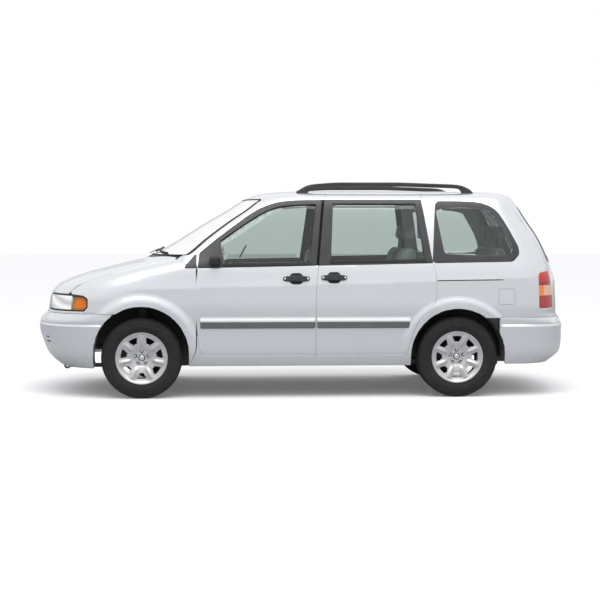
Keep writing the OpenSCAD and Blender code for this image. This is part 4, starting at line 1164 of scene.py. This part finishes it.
# %% Mirrors
def rounded_box(bm, size, power=4.0, cuts=7):
    """A box whose faces are slightly crowned: a cube, subdivided and pulled onto a fat ellipsoid."""
    before = set(bm.verts)
    verts = bmesh.ops.create_cube(bm, size=2)["verts"]
    edges = list({e for v in verts for e in v.link_edges})
    bmesh.ops.subdivide_edges(bm, edges=edges, cuts=cuts, use_grid_fill=True)
    verts = [v for v in bm.verts if v not in before]
    for v in verts:
        r = sum(abs(c) ** power for c in v.co) ** (1 / power)
        v.co = Vector([c / r * s for c, s in zip(v.co, size)])
    return verts


MIRROR = Vector((-694.0, -1010.0, 1198.0))
bm = bmesh.new()
shell = rounded_box(bm, (66, 80, 72), 3.4)
for v in shell:
    t = (v.co.x + 66) / 132
    v.co.z *= 0.80 + 0.22 * t
    v.co.y *= 0.86 + 0.16 * t
    v.co.z -= 8 * (1 - t)
bmesh.ops.translate(bm, vec=MIRROR, verts=shell)
back = [f for f in bm.faces if f.calc_center_median().x > MIRROR.x + 54 and f.normal.x > 0.8]
bmesh.ops.inset_region(bm, faces=back, thickness=5, depth=0)
bmesh.ops.translate(bm, vec=(-16, 0, 0), verts=list({v for f in back for v in f.verts}))
arm = rounded_box(bm, (46, 44, 34), 5.0, 4)
bmesh.ops.translate(bm, vec=(MIRROR.x - 26, -912, 1168), verts=arm)
left_mirror = settle("left_mirror_housing", bm, "front_left_door", plastic, ["left_mirror"], closed=True)
bm = bmesh.new()
face = rounded_box(bm, (2, 66, 54), 6.0, 5)
bmesh.ops.translate(bm, vec=MIRROR + Vector((50, 0, 0)), verts=face)
mirror_glass = settle("left_mirror_glass", bm, "front_left_door", chrome, [])
twin(left_mirror, "right_mirror_housing", "front_right_door", ["right_mirror"])
twin(mirror_glass, "right_mirror_glass", "front_right_door", [])
print("mirrors:", len(left_mirror.data.polygons), "faces")

# %% Roof rails and wipers
RAIL = [(aft(1310), up(618)), (aft(1370), up(666)), (aft(1440), up(694)), (aft(1645), up(711)), (fore(462), up(712)),
        (behind(8), up(695)), (behind(78), up(686)), (behind(148), up(652)), (behind(182), up(606)),
        (behind(100), up(608)), (behind(60), up(666)), (behind(8), up(674)), (fore(462), up(688)),
        (aft(1645), up(687)), (aft(1470), up(676)), (aft(1420), up(642)), (aft(1400), up(618))]
bm = flat_sheet(soften(RAIL, 40), 26)
hem(bm, 34, 6)
for v in bm.verts:
    v.co = Vector((v.co.x, -602 - v.co.z, v.co.y))
    v.co.y += 9 * (1 - smooth(up(606), up(700), v.co.z)) * (-1 if v.co.y < -585 else 1)
left_rail = settle("left_roof_rail", bm, "body", rail_black, ["roof_rails"])
twin(left_rail, "right_roof_rail", "body", [])
for name, y0, y1, z0, z1 in (("driver", -640, 10, 1222, 1262), ("passenger", 60, 600, 1224, 1262)):
    s0, s1 = nose_run(z0), nose_run(z1)
    panel(name + "_wiper_blade", "front", [(y0, s0 - 4), (y1, s1 - 4), (y1, s1 + 5), (y0, s0 + 5)], 12, seal, [],
          cell=30, below=-12, radius=2, corner=4)
    foot = y1 + 60
    mid_y, mid_s = (y0 + y1) / 2, (s0 + s1) / 2
    arm_outline = [(foot - 9, nose_run(1196)), (foot + 9, nose_run(1196)), (mid_y + 9, mid_s + 3),
                   (mid_y - 9, mid_s - 3)]
    panel(name + "_wiper_arm", "front", arm_outline, 7, plastic, [], cell=30, below=-20, radius=2,
          corner=4)
print("rails and wipers are in")

# %% [markdown]
# ## Wheels
# One sector of the wheel's face is cut flat, with its window, and pressed to the dish. `spin` repeats it round the
# axle. The rim and the tyre are turned from a profile. The tread starts as plain bands, and `inset_individual`
# raises a block from every face.

# %% Wheel and tyre
DISH = [(0, 50), (40, 49), (62, 50), (78, 57), (110, 70), (150, 79), (185, 83), (200, 88), (212, 93)]


def turned(bm, points, steps=72):
    """A ring turned round the wheel's axle from (radius, outwards) points."""
    verts = [bm.verts.new((r, -o, 0)) for r, o in points]
    edges = [bm.edges.new(p) for p in zip(verts, verts[1:] + verts[:1])]
    bmesh.ops.spin(bm, geom=verts + edges, axis=(0, 1, 0), cent=(0, 0, 0), dvec=(0, 0, 0), angle=2 * math.pi,
                   steps=steps, use_merge=True)


def wheel_face(windows):
    half = math.pi / windows * 200
    outline = [(-half, 56), (half, 56), (half, 204), (-half, 204)]
    window = soften([(-27, 125), (27, 125), (46, 162), (47, 181), (-47, 181), (-46, 162)], 12)
    bm = flat_sheet(outline, 9, [window])
    hem(bm, 26, 3.5, only=lambda e: not all(abs(abs(v.co.x) - half) < 0.5 for v in e.verts))
    for v in bm.verts:
        angle, r = v.co.x / 200 + math.pi / 2, v.co.y
        ridge = 11.0 * math.exp(-(((abs(v.co.x) - half) / 24) ** 2)) - 3
        spoke = ridge * float(smooth(84, 112, r) * (1 - smooth(184, 203, r)))
        out = float(np.interp(r, *zip(*DISH))) + v.co.z + (spoke if v.co.z > -8 else 0)
        v.co = Vector((r * math.cos(angle), -out, r * math.sin(angle)))
    bmesh.ops.spin(bm, geom=list(bm.verts) + list(bm.edges) + list(bm.faces), axis=(0, 1, 0), cent=(0, 0, 0),
                   dvec=(0, 0, 0), angle=2 * math.pi / windows * (windows - 1), steps=windows - 1, use_duplicate=True)
    bmesh.ops.remove_doubles(bm, verts=bm.verts, dist=0.3)
    return bm


def wheel_parts(windows):
    face = wheel_face(windows)
    turned(face, [(196, 84), (206, 92), (216, 96), (222, 97), (224, 94), (221, 88), (216, 78), (205, 60), (202, -60),
                  (206, -92), (198, -92), (194, -60), (194, 60)], 96)
    turned(face, [(28.6, 44), (28.6, 50), (34, 52), (58, 51), (60, 48), (60, 10), (28.6, 10)], 48)
    nuts = bmesh.new()
    for i in range(5):
        a = math.pi / 2 + i * 2 * math.pi / 5
        turn = Matrix.Translation((57 * math.cos(a), -56, 57 * math.sin(a))) @ Matrix.Rotation(math.pi / 2, 4, "X")
        bmesh.ops.create_cone(nuts, cap_ends=True, segments=6, radius1=10.5, radius2=9, depth=14, matrix=turn)
    turned(nuts, [(0.5, 62), (17, 61), (22, 58), (24, 50), (24, 44), (0.5, 44)], 40)
    # Dark rubber discs just proud of the dish round each nut: painted shade in place of the nut recesses. The ring
    # turned next, behind the hub, is the brake.
    nut_shade_and_brake = bmesh.new()
    for i in range(5):
        a = math.pi / 2 + i * 2 * math.pi / 5
        turn = Matrix.Translation((57 * math.cos(a), -51.2, 57 * math.sin(a))) @ Matrix.Rotation(math.pi / 2, 4, "X")
        bmesh.ops.create_cone(nut_shade_and_brake, cap_ends=True, segments=24, radius1=15.5, radius2=15.5, depth=1.6, matrix=turn)
    turned(nut_shade_and_brake, [(34, 28), (135, 28), (135, 14), (34, 14)], 64)
    tyre = bmesh.new()
    half = [(216.4, 92), (222, 100), (236, 104), (258, 107), (262, 108.4), (268, 108.4), (272, 107.3), (292, 106.4),
            (310, 103.5), (324, 98), (332, 90), (336, 80)]
    bands = [72, 44, 40, 14, -14, -40, -44, -72]
    side = [(r, -o) for r, o in reversed(half)]
    turned(tyre, half + [(336.5, o) for o in bands] + side + [(218, -80), (218, 80)], 132)
    tyre.faces.ensure_lookup_table()
    bmesh.ops.recalc_face_normals(tyre, faces=tyre.faces)
    tread = [f for f in tyre.faces if f.calc_center_median().xz.length > 327 and f.calc_area() > 60]
    bmesh.ops.inset_individual(tyre, faces=tread, thickness=1.7, depth=5.0)
    return face, nuts, nut_shade_and_brake, tyre


left_wheels = {}
for end, x, windows, start in (("front", FRONT, 7, math.pi / 7 * 7), ("rear", REAR, 8, 0.0)):
    body = end + "_left_wheel"
    # The third piece is the brake with dark discs round the nuts, painted shade for their recesses.
    names = ("alloy", "nuts_and_cap", "brake_and_wells", "tyre")
    finishes = (alloy, chrome, seal, rubber)
    for name, bm, finish in zip(names, wheel_parts(windows), finishes):
        turn = Matrix.Rotation(start if name == "alloy" else 0, 3, "Y")
        bmesh.ops.rotate(bm, verts=bm.verts, cent=(0, 0, 0), matrix=turn)
        bmesh.ops.translate(bm, vec=(x, -TRACK / 2, TYRE_R), verts=bm.verts)
        nodes = {"alloy": body, "tyre": end + "_left_tyre"}.get(name)
        made = settle(f"{end}_left_{name}", bm, body, finish, [nodes] if nodes else [],
                      angle=32)
        right = nodes.replace("left", "right") if nodes else None
        twin(made, f"{end}_right_{name}", end + "_right_wheel", [right] if right else [])
        left_wheels[made.name] = len(made.data.polygons)
print("wheels:", left_wheels)

# %% [markdown]
# The arches would let light through behind the tyres. On a real van a plastic liner closes each wheel house. Here
# the box helper's fault, which its cell describes, flattens the shell, and only one splash plate is left of it.

# %% Wheel house liners
for end, x, z, inboard in (("front", FRONT, FRONT_ARCH_Z, -500), ("rear", REAR, REAR_ARCH_Z, -560)):
    bm = bmesh.new()
    ring = [bm.verts.new((px, -872, pz)) for px, pz in arc(x, z, ARCH_R + 9, -17, 197, 40)]
    edges = [bm.edges.new(p) for p in zip(ring, ring[1:])]
    inward = bmesh.ops.extrude_edge_only(bm, edges=edges)
    shifted_verts = [g for g in inward["geom"] if isinstance(g, bmesh.types.BMVert)]
    bmesh.ops.translate(bm, vec=(0, inboard + 872, 0), verts=shifted_verts)
    bmesh.ops.solidify(bm, geom=list(bm.faces), thickness=-3)
    for x0, x1 in ((x - ARCH_R - 10, x - 200), (x + 200, x + ARCH_R + 10)):
        plate = rounded_box(bm, ((x1 - x0) / 2, 2, 105), 10.0, 3)
        bmesh.ops.translate(bm, vec=((x0 + x1) / 2, inboard, 345), verts=plate)
    liner = settle(f"left_{end}_wheel_liner", bm, "body", under, [])
    twin(liner, f"right_{end}_wheel_liner", "body", [])
print("wheel house liners are in")

# %% [markdown]
# ## Inside
# The seats are sewn pads: a plain block is remeshed and blown up a little by the cloth solver, with gravity off, so
# that its seams pull in and its faces swell. Grooves come afterwards. Each shape is simulated once and copied.


# %% Soft pads
def pad_block(outline, width, cell):
    """An upright slice of seat, extruded across and cut into small squares."""
    bm = bmesh.new()
    verts = [bm.verts.new((x, -width / 2, z)) for x, z in outline]
    bmesh.ops.contextual_create(bm, geom=verts)
    grown_faces = bmesh.ops.extrude_face_region(bm, geom=list(bm.faces))
    bmesh.ops.translate(bm, vec=(0, width, 0),
                        verts=[g for g in grown_faces["geom"] if isinstance(g, bmesh.types.BMVert)])
    bmesh.ops.recalc_face_normals(bm, faces=bm.faces)
    mesh = bpy.data.meshes.new("block")
    bm.to_mesh(mesh)
    bm.free()
    obj = bpy.data.objects.new("block", mesh)
    bpy.context.scene.collection.objects.link(obj)
    mesh.transform(Matrix.Scale(0.001, 4))
    remesh = obj.modifiers.new("even cells", "REMESH")
    remesh.mode = "VOXEL"
    remesh.voxel_size = cell / 1000
    return obj


def inflate(obj, pressure=4.0, frames=16):
    """Blows the pad up with cloth and keeps the last frame, no point moved more than 24 mm."""
    scene = bpy.context.scene
    deps = bpy.context.evaluated_depsgraph_get()
    still = bpy.data.meshes.new_from_object(obj.evaluated_get(deps))
    obj.modifiers.clear()
    obj.data = still
    start = np.empty(len(still.vertices) * 3)
    still.vertices.foreach_get("co", start)
    cloth = obj.modifiers.new("stuffing", "CLOTH")
    cloth.settings.use_pressure = True
    cloth.settings.uniform_pressure_force = pressure
    cloth.settings.effector_weights.gravity = 0
    cloth.settings.tension_stiffness = cloth.settings.compression_stiffness = 30
    cloth.point_cache.frame_start, cloth.point_cache.frame_end = 1, frames
    for f in range(1, frames + 1):
        scene.frame_set(f)
    blown = bpy.data.meshes.new_from_object(obj.evaluated_get(bpy.context.evaluated_depsgraph_get()))
    obj.modifiers.clear()
    end = np.empty_like(start)
    blown.vertices.foreach_get("co", end)
    scene.frame_set(1)
    step = (end - start).reshape(-1, 3)
    far = np.linalg.norm(step, axis=1, keepdims=True)
    step *= np.minimum(1, 0.024 / np.maximum(far, 1e-9))
    still.vertices.foreach_set("co", (start.reshape(-1, 3) + step).ravel())
    bm = bmesh.new()
    bm.from_mesh(still)
    bmesh.ops.smooth_vert(bm, verts=bm.verts, factor=0.5, use_axis_x=True, use_axis_y=True, use_axis_z=True)
    bmesh.ops.scale(bm, vec=(1000, 1000, 1000), verts=bm.verts)
    bpy.data.objects.remove(obj)
    return bm


def groove(bm, lines, depth=9.0, width=9.0):
    """Sinks seams into the pad: each line is a distance function of (x, y, z)."""
    for v in bm.verts:
        d = min(abs(line(*v.co)) for line in lines)
        v.co -= v.normal * depth * math.exp(-((d / width) ** 2))


CUSHION = [(6, 240), (2, 322), (44, 362), (300, 358), (455, 340), (520, 300), (520, 240)]
BACK = [(500, 330), (506, 400), (578, 850), (600, 900), (628, 916), (668, 914), (686, 880), (640, 520), (604, 300),
        (540, 290)]
REST = [(628, 962), (622, 1000), (634, 1066), (652, 1090), (676, 1090), (692, 1060), (692, 980), (676, 958)]


def inset_outline(outline, by):
    return [tuple(p) for p in grown(outline, -by)]


print("pads are drawn")


# %% Seats
def seat_pads(width, seams):
    cushion = inflate(pad_block(soften(inset_outline(CUSHION, 7), 30), width - 26, 19))
    groove(cushion, [lambda x, y, z, s=s: (y - s) if z > 300 else 99 for s in seams]
           + [lambda x, y, z: (x - 150) if z > 300 else 99])
    back = inflate(pad_block(soften(inset_outline(BACK, 7), 20), width - 26, 19))
    groove(back, [lambda x, y, z, s=s: (y - s) for s in seams] + [lambda x, y, z: z - 660])
    return cushion, back


def whole_seat(name, x, y, width, seams, rests, slot, body="body"):
    base = 372.3
    made = []
    cushion, back = seat_pads(width, seams)
    for part, bm in (("cushion", cushion), ("back", back)):
        bmesh.ops.translate(bm, vec=(x, y, base), verts=bm.verts)
        piece = settle(f"{name}_{part}", bm, body, cloth, [slot] if part == "cushion" else [], angle=60)
        made.append(piece)
    for i, dy in enumerate(rests):
        rest = inflate(pad_block(soften(inset_outline(REST, 5), 14), 232, 15))
        bmesh.ops.translate(rest, vec=(x, y + dy, base), verts=rest.verts)
        piece = settle(f"{name}_restraint_{i}", rest, body, cloth, [], angle=60)
        made.append(piece)
    hard = bmesh.new()
    plinth = rounded_box(hard, (225, width / 2 - 14, 112), 7.0, 6)
    bmesh.ops.translate(hard, vec=(x + 262, y, base + 128), verts=plinth)
    cover = rounded_box(hard, (16, width / 2 - 30, 240), 6.0, 6)
    bmesh.ops.rotate(hard, verts=cover, cent=(0, 0, 0), matrix=Matrix.Rotation(math.radians(10), 3, "Y"))
    bmesh.ops.translate(hard, vec=(x + 662, y, base + 600), verts=cover)
    made.append(settle(name + "_plinth_and_shell", hard, body, cabin_dark, []))
    rods = bmesh.new()
    for dy in rests:
        for s in (-55, 55):
            turn = Matrix.Translation((x + 655, y + dy + s, base + 930)) @ Matrix.Rotation(math.radians(6), 4, "Y")
            bmesh.ops.create_cone(rods, cap_ends=True, segments=14, radius1=6, radius2=6, depth=120, matrix=turn)
    made.append(settle(name + "_rods", rods, body, steel, []))
    return made


def shifted(pieces, x, y, label, slot):
    """The same pads again in another place."""
    for piece in pieces:
        copy = piece.copy()
        copy.data = piece.data.copy()
        copy.data.transform(Matrix.Translation((x / 1000, y / 1000, 0)))
        bpy.context.scene.collection.objects.link(copy)
        copy.name = piece.name.replace("driver_seat", label)
        enroll(copy, "body", [slot] if piece.name.endswith("cushion") and label.endswith("left_seat") else [])


driver = whole_seat("driver_seat", -440, -380, 500, [-150, 150], [0], "front_seats")
shifted(driver, 0, 760, "passenger_seat", "front_seats")
shifted(driver, 780, 10, "middle_left_seat", "middle_seats")
shifted(driver, 780, 750, "middle_right_seat", "middle_seats")
bench = whole_seat("rear_bench", 1150, 0, 1060, [-380, -176, 176, 380], [-350, 0, 350], "rear_bench")
print("seats:", sum(len(p.data.polygons) for p in driver + bench), "faces before copies")

# %% Steering wheel
hub = Vector((-543.0, -380.0, 1133.0))
wheel = bmesh.new()
turned_ring = [wheel.verts.new((185 + 15 * math.cos(a), 0, 15 * math.sin(a))) for a in
               [i * math.pi / 7 for i in range(14)]]
ring_edges = [wheel.edges.new((turned_ring[i], turned_ring[(i + 1) % 14])) for i in range(14)]
bmesh.ops.spin(wheel, geom=turned_ring + ring_edges, axis=(0, 0, 1), cent=(0, 0, 0), dvec=(0, 0, 0),
               angle=2 * math.pi, steps=72, use_merge=True)
boss = rounded_box(wheel, (76, 66, 22), 4.0, 5)
bmesh.ops.translate(wheel, vec=(0, 0, -12), verts=boss)
for a in (90, -90, 0):
    spoke = rounded_box(wheel, (62, 17, 7), 6.0, 4)
    bmesh.ops.translate(wheel, vec=(118, 0, -8), verts=spoke)
    bmesh.ops.rotate(wheel, verts=spoke, cent=(0, 0, 0), matrix=Matrix.Rotation(math.radians(a), 3, "Z"))
bmesh.ops.recalc_face_normals(wheel, faces=wheel.faces)
bmesh.ops.transform(wheel, matrix=Matrix.Translation(hub) @ Matrix.Rotation(math.radians(-62), 4, "Y"),
                    verts=wheel.verts)
settle("steering_wheel_rim", wheel, "steering_wheel", cabin_dark, ["steering_wheel"], angle=50)
print("steering wheel is in")

# %% [markdown]
# ## The CAD parts that stay
# The hard parts underneath keep their CAD geometry. They only get materials, through the object's own slots.

# %% Materials on the CAD parts
KEPT = {"floor_pan": under, "front_structure": under, "dashboard": cabin_dark, "engine": cast, "front_subframe": under,
        "rear_axle": under, "left_knuckle": under, "right_knuckle": under, "exhaust": steel}
for name, finish in KEPT.items():
    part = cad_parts[name]
    for place_for in part.material_slots:
        place_for.link = "OBJECT"
        place_for.material = finish
print("materials on", len(KEPT), "CAD parts")

# %% [markdown]
# ## Floor and light
# The van stands on a pale, matt floor that glows faintly, as the camera sees it. Every other ray, reflections in the
# paint included, meets a mid grey copy of that floor instead: painted shade. Car paint shows what it reflects, so the
# sky matters
# more than the lamps: it is white high up and greyer near the horizon. That sky and the painted grey floor are why the
# upper half of the side is almost white and the part under the crease is a soft grey. One wide lamp overhead adds the
# shine on the shoulders.

# %% Floor
bm = bmesh.new()
bmesh.ops.create_circle(bm, cap_ends=True, segments=96, radius=60)
bm.normal_update()
mesh = bpy.data.meshes.new("floor")
bm.to_mesh(mesh)
bm.free()
floor = bpy.data.objects.new("floor", mesh)
scene.collection.objects.link(floor)
floor_mat, floor_tree, floor_shader = material("studio floor", Roughness=0.9)
tone = node(floor_tree, "ShaderNodeTexNoise", Scale=0.7, Detail=3.0)
mixed = node(floor_tree, "ShaderNodeMix")
mixed.data_type = "RGBA"
mixed.inputs[6].default_value = (0.90, 0.90, 0.91, 1)
mixed.inputs[7].default_value = (0.87, 0.87, 0.88, 1)
floor_tree.links.new(tone.outputs["Fac"], mixed.inputs[0])
floor_tree.links.new(mixed.outputs[2], floor_shader.inputs["Base Color"])
floor_shader.inputs["Emission Color"].default_value = (1, 1, 1, 1)
floor_shader.inputs["Emission Strength"].default_value = 0.10
# Painted shade: every ray but the camera's sees the floor as this mid grey diffuse, so the lower body reflects grey.
shade = node(floor_tree, "ShaderNodeBsdfDiffuse", Color=(0.42, 0.425, 0.44, 1))
seen_by = node(floor_tree, "ShaderNodeLightPath")
either = node(floor_tree, "ShaderNodeMixShader", [(0, seen_by.outputs["Is Camera Ray"]), (1, shade.outputs[0]),
                                                  (2, floor_shader.outputs[0])])
floor_tree.links.new(either.outputs[0], floor_tree.nodes["Material Output"].inputs["Surface"])
mesh.materials.append(floor_mat)
print("floor radius 60 m")

# %% Sky and lamp
world = bpy.data.worlds.new("studio")
scene.world = world
world.use_nodes = True
sky = world.node_tree
sky.nodes.clear()
where = sky.nodes.new("ShaderNodeTexCoord")
split = sky.nodes.new("ShaderNodeSeparateXYZ")
ramp = sky.nodes.new("ShaderNodeValToRGB")
for at, shade in ((0.0, 0.62), (0.06, 0.50), (0.14, 0.56), (0.26, 0.96), (1.0, 1.0)):
    stop = ramp.color_ramp.elements.new(at) if at not in (0.0, 1.0) else ramp.color_ramp.elements[int(at)]
    stop.color = (shade * 0.97, shade * 0.985, shade, 1)
reflected = sky.nodes.new("ShaderNodeBackground")
seen = sky.nodes.new("ShaderNodeBackground")
path = sky.nodes.new("ShaderNodeLightPath")
either = sky.nodes.new("ShaderNodeMixShader")
out = sky.nodes.new("ShaderNodeOutputWorld")
seen.inputs["Color"].default_value = (1, 1, 1, 1)
sky.links.new(where.outputs["Generated"], split.inputs["Vector"])
sky.links.new(split.outputs["Z"], ramp.inputs["Fac"])
sky.links.new(ramp.outputs["Color"], reflected.inputs["Color"])
sky.links.new(path.outputs["Is Camera Ray"], either.inputs["Fac"])
sky.links.new(reflected.outputs["Background"], either.inputs[1])
sky.links.new(seen.outputs["Background"], either.inputs[2])
sky.links.new(either.outputs["Shader"], out.inputs["Surface"])
lamp_data = bpy.data.lights.new("overhead", "AREA")
lamp_data.shape = "RECTANGLE"
lamp_data.size, lamp_data.size_y = 9.0, 6.0
lamp_data.energy = 420.0
lamp = bpy.data.objects.new("overhead", lamp_data)
lamp.location = (0.2, -4.2, 7.5)
lamp.rotation_euler = (math.radians(30), 0, 0)
scene.collection.objects.link(lamp)
scene.view_settings.view_transform = "Standard"
print("studio is lit")
